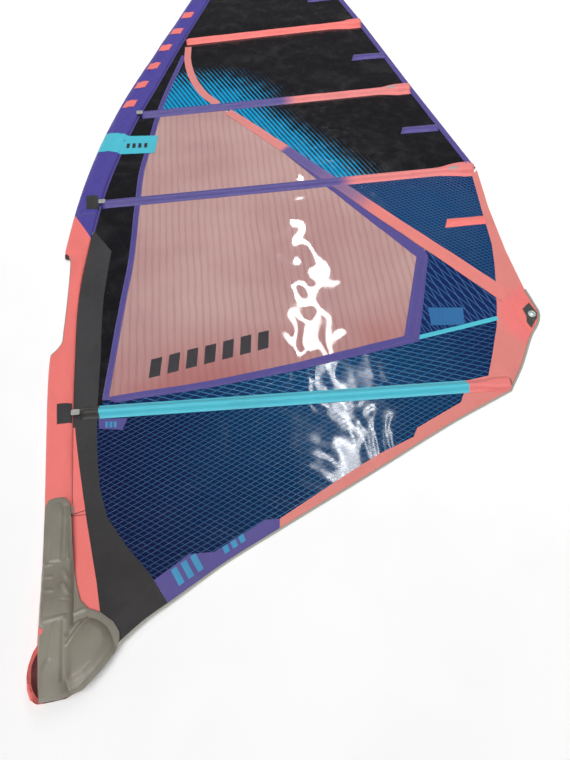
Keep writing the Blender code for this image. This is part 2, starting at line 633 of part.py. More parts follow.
def fairing():
    aft = [(0.058, 0.0), (0.118, 0.012), (0.168, 0.050), (0.214, 0.106), (0.221, 0.146), (0.205, 0.183), (0.171, 0.212),
           (0.136, 0.230), (0.112, 0.258), (0.101, 0.300)]  # fmt: skip
    front = [(FAIRING_FRONT, 0.36 * i / 6) for i in range(7)]
    near = aft + [(0.0965, FAIRING_TOP)] + front[::-1]
    sheet("fairing_flap", near, GREY, near_inner, lambda x, y: near_inner(x, y) + FAIRING_THICK, 0.016)
    lip = [(-0.016, 0.160), (-0.028, 0.120), (-0.034, 0.080), (-0.030, 0.035), (-0.018, 0.0)]
    far = aft + [(0.0965, FAIRING_TOP)] + front[:2:-1] + lip
    sheet("fairing_base", far, GREY, lambda x, y: far_inner(x, y) - FAIRING_THICK, far_inner, 0.016)
    tongue = [(0.006, FAIRING_TOP + 0.002), (0.083, FAIRING_TOP + 0.002), (0.078, 0.560), (0.066, 0.584),
              (0.040, 0.592), (0.018, 0.584), (0.006, 0.560)]  # fmt: skip

    def on_sleeve(x, y):
        up, _ = sleeve_heights(y, 0.044)
        return cloth_z(x, y) + SLEEVE_HALF + up * dome((x - luff_x(y)) / 0.088) + TONGUE_CLEAR

    sheet("fairing_tongue", tongue, GREY, on_sleeve, lambda x, y: on_sleeve(x, y) + 0.007, 0.016)


# ---------------------------------------------------------------- the tack pulley
def tack_pulley():
    x, y = BLOCK_AT
    z = cloth_z(x, y)
    at = (x, y, z)
    wide, tall = 0.0185, 0.012
    block = box("pulley_block", (-wide, -0.016, -tall), (wide, PIN_OFFSET + 0.006, tall), STEEL, at)
    for i in (-1, 0, 1):
        half = SHEAVE_WIDTH / 2 + 0.0004
        slot = box("slot", (i * SHEAVE_PITCH - half, -0.05, -0.05), (i * SHEAVE_PITCH + half, 0.016, 0.05), STEEL, at)
        boolean(block, slot, "DIFFERENCE")
    boolean(block, box("fork", (-0.0138, 0.024, -0.05), (0.0138, 0.09, 0.05), STEEL, at), "DIFFERENCE")
    bore = AXLE_RADIUS + 0.0003
    profile = [(-0.05, 0), (-0.05, bore), (0.05, bore), (0.05, 0)]
    boolean(block, turned("bore", profile, STEEL, at), "DIFFERENCE")
    pin = [(-wide + 0.001, 0), (-wide + 0.001, PIN_RADIUS), (wide - 0.001, PIN_RADIUS), (wide - 0.001, 0)]
    boolean(block, turned("pin", pin, STEEL, (x, y + PIN_OFFSET, z)), "UNION")
    turned("pulley_axle", [(-0.0195, 0), (-0.0195, AXLE_RADIUS), (0.0195, AXLE_RADIUS), (0.0195, 0)], STEEL, at)
    for i in (-1, 0, 1):
        half = SHEAVE_WIDTH / 2
        rim, groove, bore = SHEAVE_RADIUS, SHEAVE_RADIUS - 0.003, AXLE_RADIUS + 0.0004
        outer = [circle(r, s, 16) for s, r in ((-half, rim), (-half * 0.3, groove), (half * 0.3, groove), (half, rim))]
        inner = [circle(bore, s, 16) for s in (-half, -half * 0.3, half * 0.3, half)]
        loft(f"pulley_sheave_{i + 2}", outer, inner, PLASTIC, (x + i * SHEAVE_PITCH, y, z))

    hole = PIN_RADIUS + 0.0006
    outer, inner = [], []
    for s in (-0.0125, 0.0125):
        ring = [(s, 0.0062 * c, 0.0062 * d) for _, c, d in circle(1.0, s, 16)]
        outer.append([(s, 0.024 if c > 0.0035 else c, max(-0.0014, min(0.0014, d)) if c > 0.0035 else d)
                      for s, c, d in ring])  # fmt: skip
        inner.append(circle(hole, s, 16))
    loft("tack_webbing", outer, inner, WEB, (x, y + PIN_OFFSET, z))


# ---------------------------------------------------------------- the head
def head():
    lean = math.atan2(1.0, LUFF_BEND * LUFF_POWER * (LUFF_BEND_END - LUFF_STRAIGHT) ** (LUFF_POWER - 1))
    turn = Matrix.Rotation(lean, 4, "Z")
    z = 0.0195
    at = (*HEAD_AT, z)
    cap = [(0.0, 0.0155), (0.0, 0.0190), (0.046, 0.0190), (0.054, 0.0160), (0.057, 0.0100), (0.057, 0), ]
    bore = [(0.0, 0.0155), (0.046, 0.0150), (0.046, 0)]
    made = turned("head_cap", bore[::-1] + cap[1:], PLASTIC, at, turn, count=16)
    boolean(made, box("lug", (0.014, -0.092, -0.002), (0.040, -0.016, 0.002), PLASTIC, at, turn), "UNION")
    boolean(made, box("slot", (0.020, -0.086, -0.01), (0.026, -0.058, 0.01), PLASTIC, at, turn), "DIFFERENCE")
    box("head_strap", (-0.200, -0.0845, -0.0008), (0.0135, -0.0595, 0.0008), WEB, at, turn)
    frame = box("strap_buckle", (-0.118, -0.092, -0.0165), (-0.080, -0.052, 0.006), PLASTIC, at, turn)
    boolean(frame, box("slot", (-0.2, -0.0865, -0.0025), (0.0, -0.0575, 0.0025), PLASTIC, at, turn), "DIFFERENCE")
    box("buckle_lever", (-0.116, -0.090, 0.0066), (-0.079, -0.054, 0.0096), STEEL, at, turn)


def clear_scene():
    for obj in list(bpy.data.objects):
        bpy.data.objects.remove(obj)


def main():
    clear_scene()
    mast_sleeve()
    luff_panels()
    glazing()
    film_panels()
    upper_panels()
    reinforcements()
    clew_fittings()
    for batten in range(len(BATTENS)):
        batten_set(batten)
    mini_battens()
    fairing()
    tack_pulley()
    head()


main()
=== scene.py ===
"""The looks of a windsurf sail that lies flat on a pale floor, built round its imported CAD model.

Metres, +Z up. Plan coordinates start at the tack, the lower end of the luff: x runs aft and y runs
up the luff. ORIGIN turns them into the model's frame, and comes from the clew eyelet's known plan position.
"""

import math

import bpy
import numpy as np
from mathutils import Matrix, Vector
from mathutils.geometry import delaunay_2d_cdt


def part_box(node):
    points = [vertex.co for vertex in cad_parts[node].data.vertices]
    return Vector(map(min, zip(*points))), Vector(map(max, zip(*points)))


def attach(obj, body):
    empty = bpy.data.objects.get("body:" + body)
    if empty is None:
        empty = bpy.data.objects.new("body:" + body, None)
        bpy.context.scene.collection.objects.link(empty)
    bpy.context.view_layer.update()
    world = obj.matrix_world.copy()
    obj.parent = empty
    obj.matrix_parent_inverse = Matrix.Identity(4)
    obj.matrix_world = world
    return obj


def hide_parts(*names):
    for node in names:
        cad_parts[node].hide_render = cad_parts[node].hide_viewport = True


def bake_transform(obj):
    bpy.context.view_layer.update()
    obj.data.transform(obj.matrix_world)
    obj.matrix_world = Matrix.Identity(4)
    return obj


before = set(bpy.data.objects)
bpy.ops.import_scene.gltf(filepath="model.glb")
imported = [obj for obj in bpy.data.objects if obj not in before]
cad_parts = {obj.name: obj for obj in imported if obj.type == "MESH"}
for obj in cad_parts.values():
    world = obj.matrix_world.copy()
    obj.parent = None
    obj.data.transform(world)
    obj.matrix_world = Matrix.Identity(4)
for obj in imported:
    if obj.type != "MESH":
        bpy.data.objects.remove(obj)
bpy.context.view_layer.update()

CLEW = (1.787, 1.034)
EYELET = [sum(pair) / 2 for pair in zip(*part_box("clew_eyelet"))]
ORIGIN = (CLEW[0] - EYELET[0], CLEW[1] - EYELET[1])

# ---------------------------------------------------------------- the sail's plan, as in the CAD model
CLOTH_Z = 0.002
TACK_RISE, RISE_Y, RISE_X, RISE_FROM = 0.0314, 0.62, 0.55, 0.05
HEAD_Y = 4.10
SLEEVE_FOOT = 0.125
SLEEVE_SPLIT = 1.83
SLEEVE_BACK = [(0.088, 0.0), (0.088, 0.85), (0.096, 1.11), (0.110, 1.38), (0.163, 1.70), (0.222, 1.96),
               (0.292, 2.18), (0.374, 2.40), (0.487, 2.65), (0.618, 2.94), (0.908, 3.55), (1.160, 4.10)]
CUTOUT_EDGE = [(0.004, 1.120), (0.009, 1.145), (0.030, 1.163), (0.052, 1.195), (0.057, 1.241), (0.065, 1.325),
               (0.072, 1.402), (0.080, 1.503), (0.084, 1.577), (0.079, 1.612), (0.060, 1.640)]
LUFF_SEAM = [(0.176, 0.85), (0.223, 1.10), (0.266, 1.33), (0.312, 1.56), (0.350, 1.85), (0.380, 2.05),
             (0.444, 2.30), (0.492, 2.48), (0.637, 2.88), (0.712, 3.10)]
LEECH = [(1.812, 1.070), (1.803, 1.150), (1.800, 1.350), (1.812, 1.600), (1.838, 1.830), (1.715, 2.440),
         (1.608, 3.010), (1.485, 3.570), (1.325, 4.110)]
FOOT = [(0.170, 0.085), (0.298, 0.173), (0.363, 0.2067), (0.539, 0.298), (0.716, 0.373), (1.030, 0.503),
        (1.372, 0.647), (1.593, 0.728), (1.665, 0.816), (1.750, 0.941), (1.806, 1.010), (1.815, 1.035)]
BATTENS = [((0.112, 0.8909), (1.600, 0.7557)), ((0.215, 1.8915), (1.822, 1.8400)),
           ((0.412, 2.4520), (1.700, 2.4382)), ((0.672, 3.0010), (1.592, 3.0200)),
           ((0.932, 3.5300), (1.468, 3.5640))]
MINI_BATTENS = [((1.780, 1.532), 0.04), ((1.752, 2.131), 0.03), ((1.655, 2.720), 0.02), ((1.535, 3.290), -0.03)]
LOAD_BAND = [(0.812, 2.411), (1.693, 1.170)]
BLOCK = (0.128, 0.062)
LUFF_BEND, LUFF_POWER, STRAIGHT_TO, BENT_FOR = 0.0904, 2.3, 0.80, 1.95
LUFF_SLOPE = LUFF_BEND * LUFF_POWER * BENT_FOR**1.3  # of the straight top of the sleeve


# ---------------------------------------------------------------- shape of the cloth
def smooth(t):
    t = np.clip(t, 0.0, 1.0)
    return t * t * (3 - 2 * t)


def rise(x, y):
    """How far the tack fairing lifts the cloth."""
    return TACK_RISE * smooth(1 - np.asarray(y) / RISE_Y) * smooth(1 - (np.asarray(x) - RISE_FROM) / RISE_X)


def luff_x(y):
    """The front edge of the mast sleeve."""
    past = np.asarray(y, float) - STRAIGHT_TO
    straight = np.maximum(np.asarray(y, float) - (STRAIGHT_TO + BENT_FOR), 0.0)
    return LUFF_BEND * np.clip(past, 0.0, BENT_FOR) ** LUFF_POWER + LUFF_SLOPE * straight


def curve_x(knots, y):
    """x on the smooth curve through knots, which rise in y."""
    xs, ys = np.array(knots).T
    slopes = np.gradient(xs, ys)
    y = np.clip(y, ys[0], ys[-1])
    i = np.clip(np.searchsorted(ys, y, side="right") - 1, 0, len(ys) - 2)
    step = ys[i + 1] - ys[i]
    t = (y - ys[i]) / step
    return ((2 * t**3 - 3 * t**2 + 1) * xs[i] + (t**3 - 2 * t**2 + t) * step * slopes[i]
            + (3 * t**2 - 2 * t**3) * xs[i + 1] + (t**3 - t**2) * step * slopes[i + 1])


def distance(x, y, line):
    """How far points are from a plan polyline."""
    p = np.stack([np.asarray(x, float), np.asarray(y, float)], -1)
    nearest = np.full(p.shape[:-1], 1e9)
    for a, b in zip(np.array(line)[:-1], np.array(line)[1:]):
        t = np.clip(((p - a) @ (b - a)) / ((b - a) @ (b - a)), 0, 1)
        nearest = np.minimum(nearest, np.linalg.norm(p - a - t[..., None] * (b - a), axis=-1))
    return nearest


LUFF_EDGE = [(float(curve_x(SLEEVE_BACK, y)), y) for y in np.arange(0, HEAD_Y, 0.2)]
STEADY = [(LUFF_EDGE, 0.10), (LEECH, 0.07), (FOOT, 0.06), *((line, 0.055) for line in BATTENS)]
SLACK = 0.0024  # how far slack film stands off the ground on average
BILLOWS = [  # wavelength, direction in degrees, phase, height
    (0.52, 78, 0.4, 0.0010),
    (0.33, 96, 2.1, 0.0009),
    (0.23, 35, 4.0, 0.0006),
    (0.17, 112, 1.2, 0.00045),
    (0.115, 64, 5.1, 0.00028),
    (0.085, 151, 3.3, 0.00018),
]


def billow(x, y):
    """The wrinkles of film that lies slack between its battens, flat where something holds it."""
    total = SLACK
    for length, degrees, phase, height in BILLOWS:
        c, s = math.cos(math.radians(degrees)), math.sin(math.radians(degrees))
        along, across = x * c + y * s, y * c - x * s
        meander = np.sin(2 * math.pi * across / (2.3 * length) + 2 * phase)
        turn = 2 * math.pi * along / length + phase + 1.4 * meander
        total = total + height * np.sin(turn)
    still = 1.0
    for line, reach in STEADY:
        still = still * (1 - np.exp(-((distance(x, y, line) / reach) ** 2)))
    return np.maximum(total, 0) * still


def cloth(x, y):
    return CLOTH_Z + rise(x, y) + billow(x, y)


def dome(v, power=2.5):
    return np.sqrt(np.maximum(0.0, 1 - np.abs(2 * np.clip(v, 0, 1) - 1) ** power))


# ---------------------------------------------------------------- materials
STUDIO = 0.86  # the share of a colour's brightness that the bright studio asks for


def srgb(*channels):
    """A base colour from the way it looks in the studio's light, from 0 to 255."""
    linear = [c / 3294.6 if c <= 10 else ((c / 255 + 0.055) / 1.055) ** 2.4 for c in channels]
    return (*(STUDIO * c for c in linear), 1.0)


class Look:
    """A material made of nodes that read the object's own coordinates, turned into plan metres."""

    def __init__(self, name, **sockets):
        self.material = bpy.data.materials.new(name)
        self.material.use_nodes = True
        self.tree = self.material.node_tree
        self.shader = self.tree.nodes["Principled BSDF"]
        for socket, value in sockets.items():
            self.shader.inputs[socket.replace("_", " ")].default_value = value
        own = self.tree.nodes.new("ShaderNodeTexCoord").outputs["Object"]
        self.place = self.vector("ADD", own, (*ORIGIN, 0))
        parts = self.node("ShaderNodeSeparateXYZ", Vector=self.place)
        self.x, self.y, self.z = parts.outputs

    def node(self, kind, settings=(), **sockets):
        made = self.tree.nodes.new(kind)
        for key, value in dict(settings).items():
            setattr(made, key, value)
        for socket, value in sockets.items():
            self.put(made.inputs[socket.replace("_", " ")], value)
        return made

    def put(self, socket, value):
        if isinstance(value, bpy.types.NodeSocket):
            self.tree.links.new(value, socket)
        else:
            socket.default_value = value

    def math(self, operation, *values, clamp=False):
        made = self.node("ShaderNodeMath", {"operation": operation, "use_clamp": clamp})
        for socket, value in zip(made.inputs, values):
            self.put(socket, value)
        return made.outputs[0]

    def vector(self, operation, *values):
        made = self.node("ShaderNodeVectorMath", {"operation": operation})
        for socket, value in zip(made.inputs, values):
            self.put(socket, value)
        return made.outputs["Value" if operation in ("DOT_PRODUCT", "LENGTH", "DISTANCE") else "Vector"]

    def noise(self, scale, detail=3.0, stretch=(1, 1, 1), warp=0.0):
        place = self.vector("MULTIPLY", self.place, stretch)
        made = self.node("ShaderNodeTexNoise", Vector=place, Scale=scale, Detail=detail, Distortion=warp)
        return made.outputs["Fac"]

    def span(self, value, low, high, to_low=0.0, to_high=1.0):
        made = self.node("ShaderNodeMapRange", {"interpolation_type": "SMOOTHSTEP"})
        for socket, v in zip(made.inputs, (value, low, high, to_low, to_high)):
            self.put(socket, v)
        return made.outputs[0]

    def mix(self, share, a, b):
        made = self.node("ShaderNodeMix", {"data_type": "RGBA"})
        for socket, value in zip((made.inputs[0], made.inputs[6], made.inputs[7]), (share, a, b)):
            self.put(socket, value)
        return made.outputs[2]

    def towards(self, degrees, offset=0.0):
        """How far along a plan direction, in metres."""
        direction = (math.cos(math.radians(degrees)), math.sin(math.radians(degrees)), 0)
        return self.math("ADD", self.vector("DOT_PRODUCT", self.place, direction), offset)

    def side(self, a, b):
        """The signed distance to the left of the plan line from a to b."""
        run = Vector(b) - Vector(a)
        normal = Vector((-run.y, run.x)).normalized()
        reach = self.vector("DOT_PRODUCT", self.place, (*normal, 0))
        return self.math("SUBTRACT", reach, normal.dot(Vector(a)))

    def lines(self, degrees, spacing, width, shift=0.0):
        """1 on parallel threads that run in that direction, and 0 between them."""
        across = self.math("ADD", self.towards(degrees + 90), shift)
        share = self.math("FRACT", self.math("DIVIDE", across, spacing))
        wave = self.math("ABSOLUTE", self.math("SUBTRACT", share, 0.5))
        half = self.math("MULTIPLY", width, 0.5 / spacing)
        return self.span(wave, self.math("MULTIPLY", half, 0.6), self.math("MULTIPLY", half, 1.3), 1.0, 0.0)

    def weave(self, spacing):
        a = self.math("SINE", self.math("MULTIPLY", self.towards(12), 2 * math.pi / spacing))
        b = self.math("SINE", self.math("MULTIPLY", self.towards(102), 2 * math.pi / spacing))
        return self.math("MULTIPLY", a, b)

    def colour(self, value):
        self.put(self.shader.inputs["Base Color"], value)
        return self

    def uneven(self, scale, smoothest, roughest):
        """Roughness that wanders between two values, in patches of that scale."""
        value = self.span(self.noise(scale), 0.3, 0.7, smoothest, roughest)
        self.put(self.shader.inputs["Roughness"], value)
        return self

    def apart(self, x, y):
        """The distance from a plan point."""
        return self.vector("DISTANCE", self.vector("MULTIPLY", self.place, (1, 1, 0)), (x, y, 0))

    def bump(self, height, depth):
        made = self.node("ShaderNodeBump", Height=height, Distance=depth)
        if self.shader.inputs["Normal"].links:
            self.put(made.inputs["Normal"], self.shader.inputs["Normal"].links[0].from_socket)
        self.put(self.shader.inputs["Normal"], made.outputs[0])
        return self


WEAVE = 0.0016
# the colour that the cloth darkens towards in patches: partly dirt, partly painted shade of folds
SOIL_AND_FOLD_SHADE = (0.02, 0.015, 0.02, 1)


def cloth_look(name, paint, rough=(0.42, 0.6), **sockets):
    """Coated polyester: a fine weave, soft creases, and darker patches that are partly dirt and partly painted
    fold shade. paint is a colour or makes one.
    """
    look = Look(name, **{"Sheen_Weight": 0.12, "Sheen_Roughness": 0.5, **sockets})
    patches = look.noise(5.0, 4.0)
    base = paint(look) if callable(paint) else paint
    # darker patches: partly dirt, partly painted shade of the folds in the cloth
    darker = look.mix(0.22, base, SOIL_AND_FOLD_SHADE)
    soiled_and_fold_shaded = look.mix(look.span(patches, 0.52, 0.78, 0.0, 0.55), base, darker)
    woven = look.mix(look.span(look.weave(WEAVE), -0.6, 0.9, 0.0, 0.025), soiled_and_fold_shaded, (0.9, 0.85, 0.85, 1))
    look.colour(woven).uneven(40.0, *rough)
    look.bump(look.weave(WEAVE), 0.00012).bump(look.noise(12.0, 4.0, (1.0, 0.4, 1), 0.8), 0.0060)
    return look.material


CORAL, PURPLE, TAPE_PURPLE = srgb(254, 124, 118), srgb(66, 54, 156), srgb(76, 64, 146)
AQUA, INK = srgb(70, 200, 222), srgb(16, 14, 20)


def sleeve_paint(look):
    """Coral below a slanting edge on the sleeve, purple above it."""
    return look.mix(look.span(look.side((0.160, 1.710), (0.096, 1.849)), -0.0008, 0.0008), PURPLE, CORAL)


def band_paint(look):
    """Coral, purple where the load band crosses the second batten, and coral again."""
    lean = 54.6
    run = look.towards(-lean)
    start = LOAD_BAND[0][0] * math.cos(math.radians(lean)) - LOAD_BAND[0][1] * math.sin(math.radians(lean))
    into = look.span(run, start + 0.36, start + 0.39)
    out = look.span(run, start + 0.77, start + 0.93)
    violet = look.mix(look.span(run, start + 0.5, start + 0.8), srgb(96, 82, 152), srgb(150, 110, 150))
    return look.mix(out, look.mix(into, srgb(232, 138, 134), violet), srgb(240, 132, 124))


def pocket_paint(change):
    def paint(look):
        shift = look.math("ADD", look.x, look.math("MULTIPLY", look.noise(20.0), 0.02))
        return look.mix(look.span(shift, change - 0.05, change + 0.05), TAPE_PURPLE, srgb(244, 134, 132))

    return paint


def film_look(name, dark, light, families, thread, painted_reflection_at=(1.02, 0.75)):
    """Laminate film: a deep colour, lighter round one point as a painted reflection of the lights, with threads
    pressed between its layers.
    """
    look = Look(name, Coat_Weight=0.6, Coat_Roughness=0.06, Specular_IOR_Level=0.6)
    # painted reflection: the colour goes from dark to light towards the given point
    apart = look.apart(*painted_reflection_at)
    base = look.mix(look.span(apart, 0.02, 0.95, 0.55, 0.0), dark, light)
    base = look.mix(look.span(look.noise(3.0, 2.0), 0.35, 0.7, 0.0, 0.35), base, dark)
    mask = None
    for degrees, spacing, width in families:
        line = look.lines(degrees, spacing, width)
        mask = line if mask is None else look.math("MAXIMUM", mask, line)
    # the threads show more strongly near that point, as part of the painted reflection
    near = look.span(apart, 0.05, 1.0, 1.0, 0.35)
    look.colour(look.mix(look.math("MULTIPLY", mask, near), base, thread))
    look.uneven(25.0, 0.08, 0.16)
    look.bump(mask, 0.00030).bump(look.noise(4.0, 2.0, warp=1.0), 0.010)
    return look.material


def print_look(name, reach):
    """Black film printed with cyan hatching, thickest where reach(look) is high."""
    look = Look(name, Coat_Weight=0.5, Coat_Roughness=0.08)
    smoke = look.span(look.noise(5.0, 4.0, (1, 1.3, 1), 1.5), 0.45, 0.8, 0.0, 0.6)
    base = look.mix(smoke, INK, srgb(52, 52, 54))
    ragged = look.math("MULTIPLY", look.math("SUBTRACT", look.noise(16.0, 4.0), 0.5), 0.7)
    amount = look.math("ADD", reach(look), ragged)
    width = look.math("MULTIPLY", look.span(amount, 0.0, 1.3), 0.0145)
    hatch = look.lines(-69, 0.0185, width)
    ink = look.mix(look.span(amount, 0.2, 1.0), srgb(0, 96, 140), srgb(0, 160, 216))
    shown = look.math("MULTIPLY", hatch, look.span(amount, 0.02, 0.16))
    look.colour(look.mix(shown, base, ink)).uneven(30.0, 0.12, 0.3)
    look.bump(hatch, 0.0001).bump(look.noise(8.0, 3.0, warp=1.0), 0.005)
    return look.material


def window_look():
    """Clear film over the ground: a dusty rose with long streaks."""
    look = Look("window_film", Coat_Weight=0.8, Coat_Roughness=0.03, Specular_IOR_Level=0.6)
    streak = look.noise(42.0, 4.0, (1.0, 0.035, 1), 0.3)
    fine = look.noise(140.0, 3.0, (1.0, 0.03, 1), 0.2)
    cloudy = look.noise(2.4, 3.0)
    base = look.mix(look.span(cloudy, 0.3, 0.7), srgb(194, 152, 150), srgb(208, 170, 166))
    wander = look.math("MULTIPLY", look.noise(5.0), 0.02)
    grain = look.math("MULTIPLY", look.lines(86, 0.027, 0.010, wander), streak)
    base = look.mix(look.math("MULTIPLY", grain, 0.42), base, srgb(150, 92, 94))
    base = look.mix(look.span(fine, 0.45, 0.75, 0.0, 0.30), base, srgb(208, 172, 168))
    low = look.span(look.y, 1.25, 0.95)
    base = look.mix(look.math("MULTIPLY", low, look.span(cloudy, 0.35, 0.6, 0.2, 0.7)), base, srgb(176, 96, 96))
    look.colour(base).uneven(18.0, 0.03, 0.07)
    look.bump(look.noise(2.6, 1.0, warp=1.0), 0.012)
    return look.material


def foam_look():
    """Moulded foam skin: a fine grain, scuffs, and a slight shine."""
    look = Look("fairing_skin", Specular_IOR_Level=0.55)
    scuffs = look.noise(26.0, 5.0, (1.0, 0.5, 1), 0.4)
    base = look.mix(look.span(look.noise(7.0), 0.3, 0.7), srgb(130, 124, 111), srgb(148, 143, 129))
    look.colour(look.mix(look.span(scuffs, 0.6, 0.78, 0.0, 0.5), base, srgb(84, 79, 70)))
    look.uneven(60.0, 0.32, 0.48)
    look.bump(look.noise(900.0, 2.0), 0.00025).bump(look.noise(30.0, 2.0), 0.0012)
    return look.material


def plain_look(name, colour, rough, wear, grain=500.0, depth=0.0001, **sockets):
    """Moulded plastic or metal: a fine grain and lighter wear in patches."""
    look = Look(name, **sockets)
    look.colour(look.mix(look.span(look.noise(60.0, 4.0), 0.5, 0.75, 0.0, 0.5), colour, wear))
    look.uneven(80.0, rough * 0.8, rough * 1.25)
    look.bump(look.noise(grain, 2.0), depth)
    return look.material


def webbing_look():
    look = Look("webbing", Sheen_Weight=0.2)
    ribs = look.lines(63.6, 0.0022, 0.0012)
    look.colour(look.mix(ribs, srgb(18, 18, 20), srgb(44, 44, 48))).uneven(50.0, 0.6, 0.8)
    look.bump(ribs, 0.0003)
    return look.material


def charcoal_look():
    look = Look("stretch_cloth", Sheen_Weight=0.25, Sheen_Roughness=0.4)
    rib = look.lines(84, 0.0028, 0.0014)
    base = look.mix(look.span(look.y, 0.2, 1.1), srgb(38, 34, 34), srgb(56, 56, 58))
    base = look.mix(look.span(look.noise(6.0, 4.0, (1, 0.5, 1)), 0.4, 0.7, 0.0, 0.5), base, srgb(26, 24, 26))
    look.colour(look.mix(look.math("MULTIPLY", rib, 0.10), base, srgb(84, 84, 88)))
    look.uneven(30.0, 0.5, 0.68)
    look.bump(rib, 0.00018).bump(look.noise(10.0, 4.0, (1, 0.5, 1), 0.8), 0.004)
    return look.material


def upper_reach(look):
    near = look.vector("DISTANCE", look.vector("MULTIPLY", look.place, (0.72, 1, 0)), (0.60 * 0.72, 2.42, 0))
    return look.span(near, 0.12, 0.58, 1.15, -0.45)


def middle_reach(look):
    return look.span(look.side(LOAD_BAND[1], LOAD_BAND[0]), -0.02, -0.34, 1.15, -0.35)


def first_pocket_paint(look):
    """Dark at the nose, aqua along the batten, and coral over the tensioner."""
    front = look.mix(look.span(look.x, 0.1765, 0.1775), srgb(36, 33, 33), AQUA)
    return look.mix(look.span(look.x, 1.449, 1.451), front, srgb(246, 128, 124))


def liner_shade_paint(look):
    """Painted shade: dark red inside the fairing, where its coral cloth lies in shade, and coral at its rim."""
    # painted shade: the dark red inside stands for the coral cloth in the fairing's shade
    return look.mix(look.span(look.apart(0.083, 0.078), 0.1065, 0.1075), srgb(96, 20, 26), CORAL)


def clew_paint(look):
    """Coral, duller away from the clew."""
    apart = look.vector("DISTANCE", look.place, (1.80, 1.03, 0))
    return look.mix(look.span(apart, 0.10, 0.17), srgb(252, 124, 122), srgb(232, 134, 126))


POLISHED = (900.0, 0.00001)  # the scale and depth of the grain on metal


def make_looks():
    threads = srgb(36, 118, 172)
    return {
        "coral": cloth_look("coral_cloth", CORAL),
        "sleeve": cloth_look("sleeve_cloth", sleeve_paint),
        "purple": cloth_look("purple_cloth", PURPLE),
        "tape": cloth_look("purple_tape", TAPE_PURPLE, rough=(0.3, 0.42)),
        "aqua": cloth_look("aqua_pocket", AQUA, rough=(0.28, 0.4)),
        "pocket_1": cloth_look("pocket_cloth_1", first_pocket_paint, rough=(0.28, 0.4)),
        "liner": cloth_look("fairing_lining", liner_shade_paint),
        "band": cloth_look("load_band_cloth", band_paint, rough=(0.3, 0.45)),
        "pocket_2": cloth_look("pocket_cloth_2", pocket_paint(1.27), rough=(0.3, 0.42)),
        "pocket_3": cloth_look("pocket_cloth_3", pocket_paint(1.12), rough=(0.3, 0.42)),
        "patch": cloth_look("clew_cloth", clew_paint, rough=(0.3, 0.45)),
        "charcoal": charcoal_look(),
        # each film's second colour is its painted reflection, centred on the point given last or by default
        "foot_film": film_look("foot_film", srgb(3, 14, 66), srgb(3, 72, 112),
                               [(23, 0.0155, 0.0019), (-36, 0.0175, 0.0013)], threads),
        "boom_film": film_look("boom_film", srgb(5, 18, 76), srgb(4, 80, 118),
                               [(22.6, 0.026, 0.0022), (-24.5, 0.0185, 0.0034)], threads, (0.95, 0.92)),
        "aft_film": film_look("aft_film", srgb(9, 24, 80), srgb(14, 48, 106),
                              [(-80, 0.027, 0.0030), (-60, 0.025, 0.0026)], srgb(50, 110, 172), (1.5, 1.2)),
        "leech_film": film_look("leech_film", srgb(4, 34, 82), srgb(3, 60, 114),
                                [(-52, 0.0150, 0.0034), (8, 0.0140, 0.0030)], srgb(22, 92, 146), (1.5, 1.65)),
        "ink": print_look("black_film", lambda look: 0.0),
        "print_upper": print_look("printed_film_upper", upper_reach),
        "print_middle": print_look("printed_film_middle", middle_reach),
        "window": window_look(),
        "foam": foam_look(),
        "plastic": plain_look("black_plastic", srgb(28, 28, 30), 0.42, srgb(58, 58, 60)),
        "plate": plain_look("grey_plate", srgb(74, 74, 72), 0.4, srgb(108, 108, 104)),
        "clip": plain_look("grey_clip", srgb(168, 168, 164), 0.35, srgb(205, 205, 200)),
        "piping": cloth_look("grey_piping", srgb(172, 170, 160), rough=(0.45, 0.6)),
        "steel": plain_look("steel", srgb(186, 188, 190), 0.34, srgb(140, 140, 142), *POLISHED,
                            Metallic=0.85),
        "ring": plain_look("pale_metal", srgb(196, 212, 206), 0.36, srgb(160, 172, 168), *POLISHED,
                           Metallic=0.3),
        "glass": plain_look("glass_rod", srgb(40, 40, 42), 0.3, srgb(80, 80, 84)),
        # painted shade for the mouth of the sleeve's cut-out
        "dark": cloth_look("painted_mouth_shade", srgb(84, 22, 26), rough=(0.6, 0.75)),
        "thread": cloth_look("thread", srgb(210, 205, 205), rough=(0.5, 0.6)),
        "mark_dark": cloth_look("dark_marks", srgb(30, 24, 34), rough=(0.3, 0.42)),
        "mark_blue": cloth_look("blue_marks", srgb(40, 150, 200), rough=(0.3, 0.42)),
        "patch_blue": cloth_look("blue_patch", srgb(0, 104, 166), rough=(0.3, 0.4), Sheen_Weight=0.0),
        "webbing": webbing_look(),
    }


LOOKS = make_looks()


# ---------------------------------------------------------------- making pieces
def piece(name, vertices, faces, look, body="sail"):
    """A mesh piece from plan points, which rides on a body."""
    mesh = bpy.data.meshes.new(name)
    placed = np.asarray(vertices, float) - (*ORIGIN, 0)
    mesh.from_pydata(placed.tolist(), [], [tuple(map(int, f)) for f in faces])
    mesh.materials.append(LOOKS[look])
    mesh.shade_smooth()
    mesh.set_sharp_from_angle(angle=math.radians(40))
    obj = bpy.data.objects.new(name, mesh)
    bpy.context.scene.collection.objects.link(obj)
    if body:
        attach(obj, body)
    return obj


